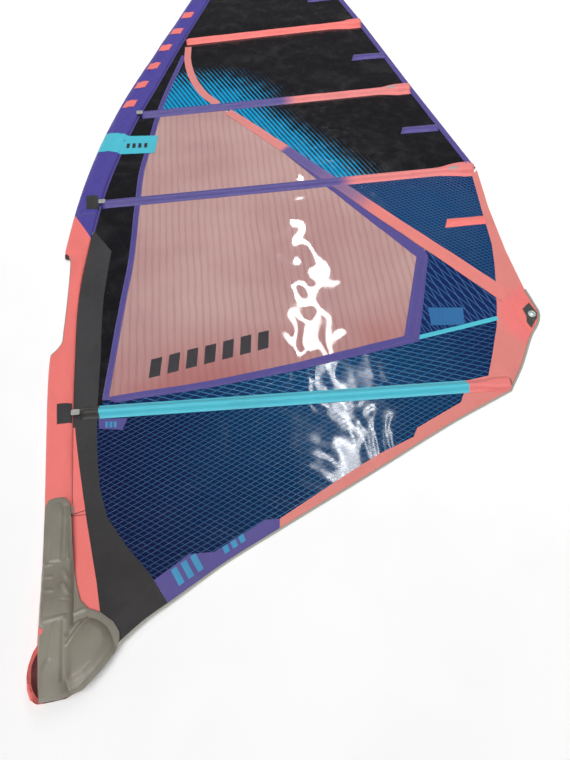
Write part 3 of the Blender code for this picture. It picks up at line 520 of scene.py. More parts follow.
def outline_loops(node):
    """The outlines of a flat CAD piece as plan points, the outer one first."""
    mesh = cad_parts[node].data
    keys, places = {}, []
    index = []
    for v in mesh.vertices:
        key = tuple(round(c, 5) for c in v.co)
        if key not in keys:
            keys[key] = len(places)
            places.append((v.co.x + ORIGIN[0], v.co.y + ORIGIN[1]))
        index.append(keys[key])
    edges = {}
    for polygon in mesh.polygons:
        if polygon.normal.z > 0.5:
            ring = [index[v] for v in polygon.vertices]
            for a, b in zip(ring, ring[1:] + ring[:1]):
                edges[(a, b)] = True
    following = {a: b for a, b in edges if (b, a) not in edges}
    loops = []
    while following:
        start, at = next(iter(following.items()))
        loop = [start]
        while at != start:
            loop.append(at)
            at = following.pop(at)
        following.pop(start, None)
        loops.append(np.array([places[i] for i in loop]))
    return sorted(loops, key=lambda p: -abs(signed_area(p)))


def signed_area(loop):
    x, y = np.asarray(loop).T
    return 0.5 * float(np.sum(x * np.roll(y, -1) - np.roll(x, -1) * y))


def grown(loop, distance_out):
    """A loop moved outward by that distance; a hole, which runs clockwise, is closed in by it."""
    points = np.asarray(loop)
    before, after = points - np.roll(points, 1, 0), np.roll(points, -1, 0) - points
    before = before / np.maximum(np.linalg.norm(before, axis=1, keepdims=True), 1e-9)
    after = after / np.maximum(np.linalg.norm(after, axis=1, keepdims=True), 1e-9)
    normal = np.stack([before[:, 1] + after[:, 1], -before[:, 0] - after[:, 0]], 1)
    normal /= np.maximum(np.linalg.norm(normal, axis=1, keepdims=True), 1e-9)
    reach = np.maximum(0.35, np.abs(normal[:, 0] * before[:, 1] - normal[:, 1] * before[:, 0]))
    return points + normal * (distance_out / reach)[:, None]


def refined(loop, spacing):
    points = []
    for a, b in zip(loop, np.roll(loop, -1, 0)):
        count = max(1, math.ceil(float(np.linalg.norm(b - a)) / spacing))
        points += [a + (b - a) * i / count for i in range(count)]
    return np.array(points)


def inside(points, loops):
    found = np.zeros(len(points), bool)
    x, y = points.T
    for loop in loops:
        for (x0, y0), (x1, y1) in zip(loop, np.roll(loop, -1, 0)):
            if y0 != y1:
                crosses = ((y0 > y) != (y1 > y)) & (x < x0 + (y - y0) * (x1 - x0) / (y1 - y0))
                found ^= crosses
    return found


def triangulated(loops, spacing):
    """Evenly spaced triangles that fill the loops: (points, triangles)."""
    loops = [refined(np.asarray(loop, float), spacing) for loop in loops]
    low, high = loops[0].min(0), loops[0].max(0)
    rows = np.arange(low[1] + spacing / 2, high[1], spacing * 0.866)
    lattice = np.concatenate([
        np.stack([np.arange(low[0] + (i % 2) * spacing / 2, high[0], spacing),
                  np.full(len(np.arange(low[0] + (i % 2) * spacing / 2, high[0], spacing)), y)], 1)
        for i, y in enumerate(rows)] or [np.zeros((0, 2))])
    lattice = lattice[inside(lattice, loops)]
    for loop in loops:
        if len(lattice):
            closed = np.concatenate([loop, loop[:1]])
            lattice = lattice[distance(lattice[:, 0], lattice[:, 1], closed) > 0.5 * spacing]
    points = [Vector(p) for loop in loops for p in loop] + [Vector(p) for p in lattice]
    edges, start = [], 0
    for loop in loops:
        edges += [(start + i, start + (i + 1) % len(loop)) for i in range(len(loop))]
        start += len(loop)
    made, _, faces, *_ = delaunay_2d_cdt(points, edges, [], 1, 1e-7)
    made = np.array([tuple(p) for p in made])
    faces = np.array([tuple(f) for f in faces])
    if len(loops) > 1:
        faces = faces[inside(made[faces].mean(1), loops)]
    return made, faces


def flat_size(loop):
    """The width and length of the smallest box round a flat outline."""
    best = None
    for degrees in range(0, 180, 4):
        c, s = math.cos(math.radians(degrees)), math.sin(math.radians(degrees))
        turned = np.asarray(loop) @ np.array([[c, -s], [s, c]])
        size = turned.max(0) - turned.min(0)
        if best is None or size[0] * size[1] < best[0] * best[1]:
            best = size
    return sorted(float(v) for v in best)


def closed_sheet(points, faces, top, bottom):
    """Vertices and faces of a solid between two sets of heights over triangulated plan points."""
    count = len(points)
    vertices = np.concatenate([np.column_stack([points, top]), np.column_stack([points, bottom])])
    directed = {}
    for a, b, c in faces.tolist():
        for edge in ((a, b), (b, c), (c, a)):
            directed[edge] = True
    rim = [(b, a, a + count, b + count) for a, b in directed if (b, a) not in directed]
    return vertices, faces.tolist() + (faces[:, ::-1] + count).tolist() + rim


def laid(name, loops, look, lift=0.0, thick=0.0008, spacing=0.014, node=None, height=None,
         printed=False):
    """A sheet of cloth over the ground. Unless it is only ink, the size it was cut to is worked out,
    which for a curved tape is its width and its length; nothing then uses it."""
    points, faces = triangulated(loops, spacing)
    x, y = points.T
    under = (cloth(x, y) if height is None else height(x, y)) + lift
    obj = piece(name, *closed_sheet(points, faces, under + thick, under), look)
    if printed:
        return obj
    area = abs(signed_area(loops[0])) - sum(abs(signed_area(hole)) for hole in loops[1:])
    width, length = flat_size(loops[0])
    if area < 0.4 * width * length:
        half_edge = 0.5 * float(np.linalg.norm(loops[0] - np.roll(loops[0], 1, 0), axis=1).sum())
        length = (half_edge + math.sqrt(max(0.0, half_edge**2 - 4 * area))) / 2
        width = area / length
    if node:
        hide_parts(node)
    return obj


def strip(line, half_start, half_end=None):
    """A plan outline along a line."""
    half_end = half_start if half_end is None else half_end
    line = np.asarray(line, float)
    run = np.gradient(line, axis=0)
    run /= np.linalg.norm(run, axis=1, keepdims=True)
    half = np.linspace(half_start, half_end, len(line))[:, None]
    side = np.stack([-run[:, 1], run[:, 0]], 1) * half
    return np.concatenate([line - side, (line + side)[::-1]])


def smooth_line(points, step=0.03):
    """A smooth curve through plan points, at even steps."""
    points = np.asarray(points, float)
    lengths = np.concatenate([[0], np.cumsum(np.linalg.norm(np.diff(points, axis=0), axis=1))])
    at = np.linspace(0, lengths[-1], max(2, int(lengths[-1] / step)))
    x = curve_x(np.column_stack([points[:, 0], lengths]), at)
    return np.column_stack([x, curve_x(np.column_stack([points[:, 1], lengths]), at)])


def grid_faces(rows, columns, closed=False):
    across = columns if closed else columns - 1
    return [(r * columns + c, r * columns + (c + 1) % columns, (r + 1) * columns + (c + 1) % columns,
             (r + 1) * columns + c) for r in range(rows - 1) for c in range(across)]


def thicken(obj, thickness, offset=-1.0):
    change = obj.modifiers.new("thickness", "SOLIDIFY")
    change.thickness = thickness
    change.offset = offset
    return obj


# ---------------------------------------------------------------- panels
PANELS = [  # node, look, material slot
    ("luff_panel_lower", "charcoal", "charcoal_cloth"),
    ("luff_panel_upper", "ink", "black_film"),
    ("window_lower", "window", "window_film"),
    ("window_upper", "window", "window_film"),
    ("aft_panel", "aft_film", "blue_film"),
    ("boom_panel", "boom_film", "blue_film"),
    ("leech_panel", "leech_film", "blue_film"),
    ("foot_panel", "foot_film", "blue_film"),
    ("body_panel_middle", "print_middle", "black_film"),
    ("body_panel_upper", "print_upper", "black_film"),
    ("body_panel_top", "ink", "black_film"),
    ("head_panel", "purple", "purple_cloth"),
    ("clew_patch", "patch", "coral_cloth"),
    ("foot_tape", "tape", "purple_cloth"),
    ("sleeve_gusset", "sleeve", "coral_cloth"),
]
OVERLAYS = [
    ("window_tape_lower", "tape", "purple_cloth", 0.0008),
    ("window_tape_aft", "tape", "purple_cloth", 0.0008),
    ("leech_tape", "tape", "purple_cloth", 0.0008),
    ("load_band", "band", "coral_cloth", 0.0015),
]
SEAM_SHARE = 0.0002


def kept_left(loop, a, b):
    """The part of an outline to the left of the line from a to b."""
    a, run = np.array(a), np.array(b) - np.array(a)
    side = (loop - a) @ np.array([-run[1], run[0]])
    points = []
    for p, q, here, there in zip(loop, np.roll(loop, -1, 0), side, np.roll(side, -1)):
        if here >= 0:
            points.append(p)
        if (here > 0) != (there > 0) and here != there:
            points.append(p + (q - p) * here / (here - there))
    return np.array(points)


def panels():
    for node, look, slot in PANELS:
        loops = [grown(loop, SEAM_SHARE) for loop in outline_loops(node)]
        if node == "clew_patch":
            outer, hole = loops
            corner, arm = (1.0, 1.0), (1.23, 0.0)
            leech = kept_left(outer, corner, (2.0, 1.0))
            foot = kept_left(outer, (2.0, 1.0), corner)
            laid("clew_patch_leech", [leech, hole], look, -0.0004, node=node)
            laid("clew_patch_corner", [kept_left(foot, (1.23, 1.0), arm)], look, -0.0004)
            laid("clew_patch_foot", [kept_left(foot, arm, (1.23, 1.0))], look, -0.0004)
            continue
        laid(f"{node}_sheet", loops, look, -0.0004, node=node)
    for node, look, slot, lift in OVERLAYS:
        loops = outline_loops(node)
        if node == "load_band":  # its end lies under the clew patch
            loops = [loops[0] + np.where(loops[0][:, :1] > 1.65, 1, 0) * np.array([0.030, -0.042])]
        laid(f"{node}_strip", loops, look, lift, 0.0006, node=node)


def seam_tape():
    """The tape over the seam behind the luff panels, and the sleeve's own hem."""
    ys = np.linspace(0.93, 2.89, 60)
    line = np.column_stack([curve_x(LUFF_SEAM, ys) + 0.007, ys])
    laid("luff_seam_tape", [strip(line, 0.0115)], "tape", 0.0007, 0.0005)
    ys = np.linspace(1.74, 4.08, 70)
    border = np.column_stack([curve_x(SLEEVE_BACK, ys) + 0.004, ys])
    laid("sleeve_border", [strip(border, 0.0055)], "tape", 0.0007, 0.0005)


def reinforcement_strips():
    clew_batten = smooth_line([(1.338, 1.002), (1.652, 1.036)])
    laid("clew_batten_strip", [strip(clew_batten, 0.009)], "aqua", 0.0008, 0.0005)
    patch = np.array([(1.400, 1.048), (1.523, 1.030), (1.540, 1.106), (1.411, 1.128)])
    laid("blue_patch", [patch], "patch_blue", 0.0007, 0.0004)
    curve = [(0.770, 2.476), (0.712, 2.565), (0.682, 2.655), (0.667, 2.755), (0.664, 2.848), (0.678, 2.960)]
    laid("curved_band", [strip(smooth_line(curve), 0.020, 0.016)], "band", 0.0008, 0.0005)
    ridge = [(1.812, 1.070), (1.790, 1.110), (1.735, 1.090), (1.722, 1.040), (1.745, 0.960), (1.790, 0.990)]
    around = [(CLEW[0] + 0.0165 * math.cos(a), CLEW[1] - 0.0165 * math.sin(a)) for a in np.linspace(0, 6.0, 22)]
    laid("clew_overlay", [np.array(ridge), np.array(around)], "coral", 0.0006, 0.0006)


def labels():
    laid("sleeve_label", [np.array([(0.199, 2.210), (0.453, 2.176), (0.476, 2.293), (0.246, 2.328)])], "aqua",
         height=over_sleeve, lift=0.0012, thick=0.0005, spacing=0.008)
    laid("batten_label", [np.array([(0.174, 0.821), (0.252, 0.804), (0.270, 0.846), (0.174, 0.859)])], "tape",
         0.0007, 0.0004)


def marks():
    """Plain slanted bars where the real sail carries lettering."""

    def bars(name, start, step, count, size, slant, look, lift, height=None):
        for i in range(count):
            corner = np.array(start) + i * np.array(step)
            (ux, uy), (vx, vy) = size, slant
            quad = np.array([corner, corner + (ux, uy), corner + (ux + vx, uy + vy), corner + (vx, vy)])
            loop = quad if signed_area(quad) > 0 else quad[::-1]
            laid(f"{name}_{i + 1}", [loop], look, lift, 0.0003, 0.01, height=height, printed=True)

    bars("window_bar", (0.352, 0.992), (0.066, 0.0085), 7, (0.040, 0.0051), (0.014, 0.078), "mark_dark", 0.0006)
    bars("foot_bar", (0.395, 0.252), (0.030, 0.0155), 3, (0.017, 0.009), (-0.020, 0.050), "mark_blue", 0.0008)
    bars("foot_dash", (0.540, 0.325), (0.026, 0.012), 3, (0.016, 0.0075), (-0.006, 0.022), "mark_blue", 0.0008)
    bars("label_dash", (0.195, 0.822), (0.014, -0.002), 3, (0.009, -0.001), (0.001, 0.022), "mark_blue", 0.0012)
    for i, y in enumerate((2.50, 2.64, 2.78, 2.92, 3.06, 3.20)):
        start = (float(luff_x(y)) + 0.020, y)
        bars(f"sleeve_bar_{i + 1}", start, (0, 0), 1, (0.054, 0.002), (0.022, 0.048), "coral", 0.0012,
             over_sleeve)
    bars("label_bar", (0.330, 2.232), (0.026, -0.0034), 4, (0.014, -0.0018), (0.004, 0.030), "mark_dark",
         0.0018, over_sleeve)


# ---------------------------------------------------------------- the mast sleeve
def sleeve_up(x, y):
    """How high the sleeve's upper skin stands over the cloth: full, but dented and creased."""
    front, back = luff_x(y), curve_x(SLEEVE_BACK, y)
    v = (x - front) / (back - front)
    small = np.sin(31 * y + 14 * v + 2 * np.sin(7 * y))
    dents = 0.86 + 0.10 * np.sin(9.1 * y + 1.3 * np.sin(4.3 * y)) + 0.05 * small
    full = 0.0155 + 0.006 * rise(x, y) / TACK_RISE
    crease = 0.0008 * np.sin(60 * v + 11 * y) * np.sin(23 * y + 3 * v) + 0.0006 * np.sin(95 * y - 20 * v)
    return (full * dents + crease) * dome(v, 2.2)


def over_sleeve(x, y):
    """The height of the sleeve's upper skin where it is, and of the cloth elsewhere."""
    on = (x > luff_x(y)) & (x < curve_x(SLEEVE_BACK, y))
    return cloth(x, y) + np.where(on, 0.0014 + sleeve_up(x, y), 0.0008)


def cut_front(y):
    """The front edge of the sleeve's skins, which the boom cut-out moves aft."""
    xs, ys = np.array(CUTOUT_EDGE).T
    front = luff_x(y)
    opened = (y > ys[0]) & (y < ys[-1])
    return np.where(opened, np.maximum(front, np.interp(y, ys, xs)), front), opened


def sleeve(name, low, high, node, look, step=0.011, columns=22):
    ys = np.linspace(low, high, int((high - low) / step) + 1)
    starts, opened = cut_front(ys)
    shares = (1 - np.cos(np.pi * np.linspace(0, 1, columns))) / 2
    rows = []
    for y, start, is_open in zip(ys, starts, opened):
        front, back = luff_x(y), curve_x(SLEEVE_BACK, y)
        x = start + (back - start) * shares
        v = (x - front) / (back - front)
        lift = rise(x, y)
        up = cloth(x, np.full_like(x, y)) + 0.0012 + sleeve_up(x, y)
        if is_open:
            near = 1 - smooth((x - start) / 0.05)
            up = up - near * 0.45 * sleeve_up(x, y)
        down = cloth(x, np.full_like(x, y)) - 0.0010 - 0.9 * np.maximum(0, lift - 0.006) * dome(v)
        top = np.column_stack([x, np.full(columns, y), up])
        under = np.column_stack([x, np.full(columns, y), down])
        rows.append(np.concatenate([top, under[::-1]]))
    size = 2 * columns
    faces = []
    for r in range(len(ys) - 1):
        for c in range(size):
            open_front = c == size - 1 and (opened[r] or opened[r + 1])
            if open_front or c == columns - 1:  # the back edge stays open too
                continue
            here, above, following = r * size, (r + 1) * size, (c + 1) % size
            faces.append((here + c, above + c, above + following, here + following))
    obj = piece(name, np.concatenate(rows), faces, look)
    thicken(obj, 0.0008, 0.0)
    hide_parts(node)
    return obj


def cutout_binding():
    """A pale binding along the cut-out's edge, and a dark sheet of painted shade in the mouth at its upper end.
    """
    line = smooth_line(CUTOUT_EDGE[1:-1], 0.012)
    x, y = line.T
    up = sleeve_up(x + 0.001, y) * 0.55
    tube("cutout_binding", np.column_stack([line + (0.0006, 0), cloth(x, y) + 0.0016 + up]), 0.0016, "piping")
    mouth = [(0.062, 1.604), (0.075, 1.600), (0.086, 1.612), (0.082, 1.638), (0.066, 1.640), (0.060, 1.626)]
    # painted shade: a dark red sheet stands for the shade inside the cut-out's mouth
    laid("cutout_mouth_shade", [np.array(mouth)], "dark", 0.0030, 0.0006, 0.006)


def sleeves():
    cutout_binding()
    sleeve("sleeve_lower_cloth", SLEEVE_FOOT, SLEEVE_SPLIT, "mast_sleeve_lower", "sleeve")
    sleeve("sleeve_upper_cloth", SLEEVE_SPLIT, HEAD_Y, "mast_sleeve_upper", "sleeve")


# ---------------------------------------------------------------- battens
def along_batten(batten, distances, offsets):
    """Plan points at those distances from the nose towards the leech, and offsets to the line's left."""
    start, end = np.array(BATTENS[batten][0]), np.array(BATTENS[batten][1])
    run = (end - start) / np.linalg.norm(end - start)
    side = np.array([-run[1], run[0]])
    return start + np.multiply.outer(distances, run) + np.multiply.outer(offsets, side)


HOUSING_LENGTH, HOUSING_RAMP = 0.105, 0.05  # the tensioner's end of a pocket, and the ramp up to it
POCKET_LIFT, POCKET_HEIGHT, HOUSING_RISE = 0.0013, 0.0165, 0.0016


def pocket_profile(leech):
    """How wide and how square a pocket stands, from its length (0) to its tensioner (1)."""
    return 0.0142 + 0.0088 * leech, 2.6 + 4.6 * leech


def pocket(batten, look, flare=0.026):
    """A pocket sewn flat along both sides, standing up over its batten and, at the leech, its tensioner."""
    length = math.dist(*BATTENS[batten])
    near_leech = np.linspace(length - 0.12, length - 0.003, 14)
    stations = np.concatenate([np.arange(0, length - 0.12, 0.016), near_leech])
    shares = np.linspace(-1, 1, 25)
    rows = []
    for s in stations:
        leech = smooth((s - (length - HOUSING_LENGTH)) / HOUSING_RAMP)
        half = 0.0255 + (flare - 0.0255) * smooth((s - (length - 0.17)) / 0.12)
        reach, power = pocket_profile(leech)
        half = max(half, 0.031 * leech)
        u = shares * half
        nose = smooth((s + 0.014) / 0.024)
        tall = (POCKET_HEIGHT + HOUSING_RISE * leech) * nose
        points = along_batten(batten, np.full(len(u), s), u)
        bump = tall * np.exp(-((np.abs(u) / reach) ** power))
        ripple = 0.0004 * np.sin(38 * s + batten) * (1 - np.abs(shares)) ** 0.5
        rows.append(np.column_stack([points, CLOTH_Z + POCKET_LIFT + bump + ripple]))
    obj = piece(f"pocket_{batten + 1}_cloth", np.concatenate(rows), grid_faces(len(stations), 25), look)
    thicken(obj, 0.0007, 0.0)
    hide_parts(f"batten_pocket_{batten + 1}")


def mini_pocket(index):
    (x, y), slope = MINI_BATTENS[index]
    angle = math.atan(slope)
    run = np.array([-math.cos(angle), math.sin(angle)])
    side = np.array([run[1], -run[0]])
    stations, shares = np.linspace(0.004, 0.172, 26), np.linspace(-1, 1, 15)
    rows = []
    for s in stations:
        tall = 0.0066 * smooth((0.168 - s) / 0.02)
        skew = -0.010 * shares * smooth((s - 0.08) / 0.09)
        points = np.array([x, y]) + np.multiply.outer(s + skew, run) + np.multiply.outer(shares * 0.0235, side)
        bump = tall * np.exp(-((np.abs(shares) / 0.62) ** 4))
        rows.append(np.column_stack([points, cloth(points[:, 0], points[:, 1]) + 0.0012 + bump]))
    faces = [f[::-1] for f in grid_faces(len(stations), len(shares))]
    obj = piece(f"mini_pocket_{index + 1}", np.concatenate(rows), faces, "coral" if index == 0 else "tape")
    thicken(obj, 0.0006, 0.0)
    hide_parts(f"mini_batten_{index + 1}")


def rounded_plate(name, centre, degrees, size, z, thick, look, body="sail", corner=0.35):
    """A small moulded plate with rounded corners and a softened edge."""
    (w, h), steps = size, 28
    radii = [(1.0, 0.0), (1.0, 0.55), (0.94, 0.85), (0.82, 1.0), (0.0, 1.0)]
    power = 2 + 6 * (1 - corner)
    turn = math.radians(degrees)
    rows = []
    for scale, up in radii:
        for i in range(steps):
            a = 2 * math.pi * i / steps
            c, s = math.cos(a), math.sin(a)
            px = math.copysign(abs(c) ** (2 / power), c) * w / 2 * scale
            py = math.copysign(abs(s) ** (2 / power), s) * h / 2 * scale
            rows.append((centre[0] + px * math.cos(turn) - py * math.sin(turn),
                         centre[1] + px * math.sin(turn) + py * math.cos(turn), z + thick * up))
    faces = grid_faces(len(radii) - 1, steps, closed=True)
    faces += [tuple(range(steps))[::-1], tuple(range((len(radii) - 2) * steps, (len(radii) - 1) * steps))]
    return piece(name, rows[: (len(radii) - 1) * steps], faces, look, body)


NOSES = [  # the middle of the dark patch, that of the pale clip, and the clip's turn in degrees
    ((0.063, 0.893), (0.100, 0.891), -4),
    ((0.176, 1.897), (0.216, 1.895), -3),
    ((0.372, 2.456), (0.405, 2.455), -2),
]


def batten_noses():
    """The pale clip at the front of the first three battens, and the dark patch at the first two."""
    for number, (patch, clip, tilt) in enumerate(NOSES, 1):
        (px, py), half = patch, (0.024, 0.040)
        quad = np.array([(px - half[0], py - half[1]), (px + half[0], py - half[1] + 0.002),
                         (px + half[0], py + half[1] - 0.002), (px - half[0], py + half[1])])
        if number < 3:
            laid(f"nose_patch_{number}", [quad], "charcoal", 0.0012, 0.0006, 0.006, height=over_sleeve)
        z = float(over_sleeve(np.array([clip[0]]), np.array([clip[1]]))[0])
        rounded_plate(f"nose_clip_{number}", clip, tilt, (0.030, 0.022), max(z, 0.016) + 0.0005, 0.0035, "clip")


def leech_marks():
    for number in (1, 2):
        x, y = BATTENS[number][1]
        corners = [(-0.115, -0.006), (-0.075, -0.007), (-0.073, 0.006), (-0.113, 0.007)]
        quad = np.array([(x + along, y + up) for along, up in corners])
        laid(f"leech_mark_{number}", [quad], "clip", thick=0.0004, spacing=0.006,
             height=lambda px, py, b=number: pocket_top(b, px, py) + 0.0012)


def pocket_top(batten, x, y):
    start, end = np.array(BATTENS[batten][0]), np.array(BATTENS[batten][1])
    length = float(np.linalg.norm(end - start))
    run = (end - start) / length
    s = (x - start[0]) * run[0] + (y - start[1]) * run[1]
    u = -(x - start[0]) * run[1] + (y - start[1]) * run[0]
    leech = smooth((s - (length - HOUSING_LENGTH)) / HOUSING_RAMP)
    reach, power = pocket_profile(leech)
    tall = POCKET_HEIGHT + HOUSING_RISE * leech
    return CLOTH_Z + POCKET_LIFT + tall * np.exp(-((np.abs(u) / reach) ** power))


# ---------------------------------------------------------------- edges and stitching
def tube(name, path, radius, look, sides=8):
    """A round cord along a 3-D path of plan points."""
    path = np.asarray(path, float)
    run = np.gradient(path, axis=0)
    run /= np.linalg.norm(run, axis=1, keepdims=True)
    side = np.cross(run, (0, 0, 1.0))
    side /= np.linalg.norm(side, axis=1, keepdims=True)
    up = np.cross(side, run)
    angles = 2 * np.pi * np.arange(sides) / sides
    rings = [p + radius * (np.outer(np.cos(angles), s) + np.outer(np.sin(angles), u))
             for p, s, u in zip(path, side, up)]
    faces = grid_faces(len(path), sides, closed=True)
    last = (len(path) - 1) * sides
    faces += [tuple(range(sides))[::-1], tuple(range(last, last + sides))]
    return piece(name, np.concatenate(rings), faces, look)


def piping():
    """The grey bound edge along the foot and round the clew."""
    line = smooth_line([(0.212, 0.115), *FOOT[1:8]], 0.02)
    around = smooth_line(FOOT[7:] + LEECH[:2], 0.02)
    for name, path, share in (("foot_piping", line, 1.0), ("clew_piping", around, 1.2)):
        z = np.maximum(cloth(path[:, 0], path[:, 1]) + 0.0012, 0.0038 * share - 0.0004)
        tube(name, np.column_stack([path, z]), 0.0038 * share, "piping")


def stitches(name, lines, lift, height=None, pitch=0.0075, length=0.0045, width=0.0009):
    """Rows of thread, each stitch a small raised lens."""
    vertices, faces = [], []
    for line in lines:
        line = smooth_line(line, pitch)
        for a, b in zip(line[:-1], line[1:]):
            run = (b - a) / max(np.linalg.norm(b - a), 1e-9)
            side = np.array([-run[1], run[0]]) * width / 2
            ends = a, a + run * length
            z = [float((height or cloth)(np.array([p[0]]), np.array([p[1]]))[0]) + lift for p in ends]
            base = len(vertices)
            middle = (ends[0] + ends[1]) / 2
            vertices += [(*ends[0], z[0]), (*(middle - side), sum(z) / 2), (*ends[1], z[1]),
                         (*(middle + side), sum(z) / 2), (*middle, sum(z) / 2 + 0.0004)]
            faces += [(base + 4, base + i, base + (i + 1) % 4) for i in range(4)]
            faces += [(base + 3, base + 2, base + 1, base)]
    return piece(name, vertices, faces, "thread")


def stitching():
    ys = np.linspace(0.95, 2.85, 40)
    seam = np.column_stack([curve_x(LUFF_SEAM, ys), ys])
    pairs = [seam + (offset, 0) for offset in (-0.002, 0.016)]
    window = [[(0.24, 0.923), (0.560, 0.926), (0.885, 0.944), (1.322, 0.997)],
              [(1.326, 1.01), (1.474, 1.379)], [(1.300, 1.02), (1.447, 1.380)]]
    patch = [[(1.742, 0.955), (1.717, 1.040), (1.730, 1.096), (1.792, 1.118)]]
    stitches("panel_stitching", [*pairs, *window, *patch], 0.0013)
    rows = []
    for i in range(len(BATTENS)):
        length = math.dist(*BATTENS[i])
        for offset in (-0.0235, 0.0235):
            rows.append(along_batten(i, np.linspace(0.01, length - 0.13, 20), np.full(20, offset)))
    stitches("pocket_stitching", rows, 0.0017)
    load = np.linspace(LOAD_BAND[0], LOAD_BAND[1], 12)
    run = (load[-1] - load[0]) / np.linalg.norm(load[-1] - load[0])
    side = np.array([-run[1], run[0]])
    stitches("band_stitching", [load + side * o for o in (-0.018, 0.018)], 0.0022)


# ---------------------------------------------------------------- the tack fairing
NEAR_HALF = [(0.037, 0.588), (0.016, 0.582), (0.007, 0.564), (0.005, 0.500), (0.006, 0.381), (0.002, 0.345),
             (0.000, 0.252), (0.001, 0.196), (0.012, 0.190), (0.011, 0.180), (0.001, 0.176), (0.001, 0.120),
             (0.003, 0.050), (0.008, 0.001), (0.067, 0.001), (0.120, 0.014), (0.167, 0.052), (0.207, 0.096),
             (0.221, 0.130), (0.221, 0.150), (0.205, 0.181), (0.171, 0.212), (0.136, 0.229), (0.113, 0.256),
             (0.102, 0.300), (0.096, 0.346), (0.087, 0.511), (0.081, 0.566), (0.066, 0.585)]
FAR_HALF = [(-0.004, 0.340), (-0.007, 0.200), (-0.008, 0.155), (-0.020, 0.128), (-0.029, 0.100),
            (-0.032, 0.075), (-0.029, 0.040), (-0.020, 0.014), (-0.004, 0.001),
            (0.064, 0.004), (0.110, 0.021), (0.154, 0.060),
            (0.194, 0.104), (0.208, 0.136), (0.207, 0.152), (0.196, 0.178), (0.166, 0.206), (0.134, 0.226),
            (0.110, 0.256), (0.100, 0.300), (0.095, 0.340)]
RIBS = [  # ends of each moulded rib in plan, half width, height
    ((0.016, 0.560), (0.015, 0.385), 0.0040, -0.0022),
    ((0.072, 0.556), (0.068, 0.385), 0.0040, -0.0030),
    ((0.075, 0.548), (0.081, 0.385), 0.0030, 0.0036),
    ((0.013, 0.372), (0.036, 0.372), 0.0035, 0.0030),
    ((0.016, 0.336), (0.037, 0.333), 0.0045, 0.0026),
    ((0.017, 0.297), (0.040, 0.293), 0.0045, 0.0026),
    ((0.070, 0.350), (0.080, 0.328), 0.0055, 0.0034),
    ((0.071, 0.308), (0.085, 0.280), 0.0055, 0.0034),
    ((0.066, 0.262), (0.082, 0.258), 0.0030, -0.0020),
    ((0.012, 0.208), (0.074, 0.214), 0.0050, 0.0036),
    ((0.074, 0.214), (0.126, 0.229), 0.0040, 0.0034),
    ((0.073, 0.200), (0.074, 0.045), 0.0045, -0.0030),
    ((0.051, 0.196), (0.040, 0.110), 0.0060, 0.0024),
    ((0.080, 0.160), (0.112, 0.196), 0.0035, 0.0046),
    ((0.083, 0.137), (0.134, 0.202), 0.0035, 0.0042),
]
RIDGE = [(0.021, 0.376), (0.022, 0.545), (0.028, 0.562), (0.044, 0.572), (0.058, 0.566), (0.066, 0.550),
         (0.062, 0.376)]
BULGE = [(0.080, 0.040), (0.101, 0.037), (0.133, 0.046), (0.166, 0.075), (0.193, 0.112), (0.200, 0.138),
         (0.186, 0.172), (0.146, 0.204), (0.110, 0.190), (0.082, 0.130)]


def fairing_top(x, y):
    """The outer surface of the near half: over the mast, over the pulley, and flat at its flange."""
    cloth_here = CLOTH_Z + rise(x, y)
    full = rise(x, y) / TACK_RISE
    mast = dome((x + 0.014) / 0.108, 2.2)
    edge = np.minimum(distance(x, y, BULGE + BULGE[:1]) / 0.020, 1)
    within = inside(np.column_stack([np.ravel(x), np.ravel(y)]), [np.array(BULGE)]).reshape(np.shape(x))
    swell = np.where(within, smooth(edge), 0.0) * 0.9
    away = ((x - BLOCK[0]) / 0.080) ** 2 + ((y - 0.096) / 0.105) ** 2
    pulley = np.sqrt(np.maximum(0, 1 - away)) * 0.88 + 0.24 * swell
    low = 0.0022 + 0.005 + (0.018 + 0.009 * full) * np.maximum(mast * smooth(1.2 - y / 0.6 + 0.4), pulley)
    tongue = 0.0014 + 0.0155 + 0.0021 + 0.0040 - 0.0035 * (1 - dome((x + 0.001) / 0.092, 2.2))
    surface = cloth_here + low + (tongue - low) * smooth((y - 0.315) / 0.09)
    ridge = inside(np.column_stack([np.ravel(x), np.ravel(y)]), [np.array(RIDGE)]).reshape(np.shape(x))
    surface = surface + 0.0048 * np.where(ridge, smooth(distance(x, y, RIDGE + RIDGE[:1]) / 0.0075), 0.0)
    for a, b, half, height in RIBS:
        surface = surface + height * np.exp(-((distance(x, y, [a, b]) / half) ** 2.4))
    flange = smooth(distance(x, y, NEAR_HALF + NEAR_HALF[:1]) / 0.011)
    kept = 0.30 + 0.58 * smooth((y - 0.315) / 0.09)
    rim = cloth_here + 0.0065 + (surface - cloth_here - 0.0065) * kept
    return rim + (surface - rim) * flange


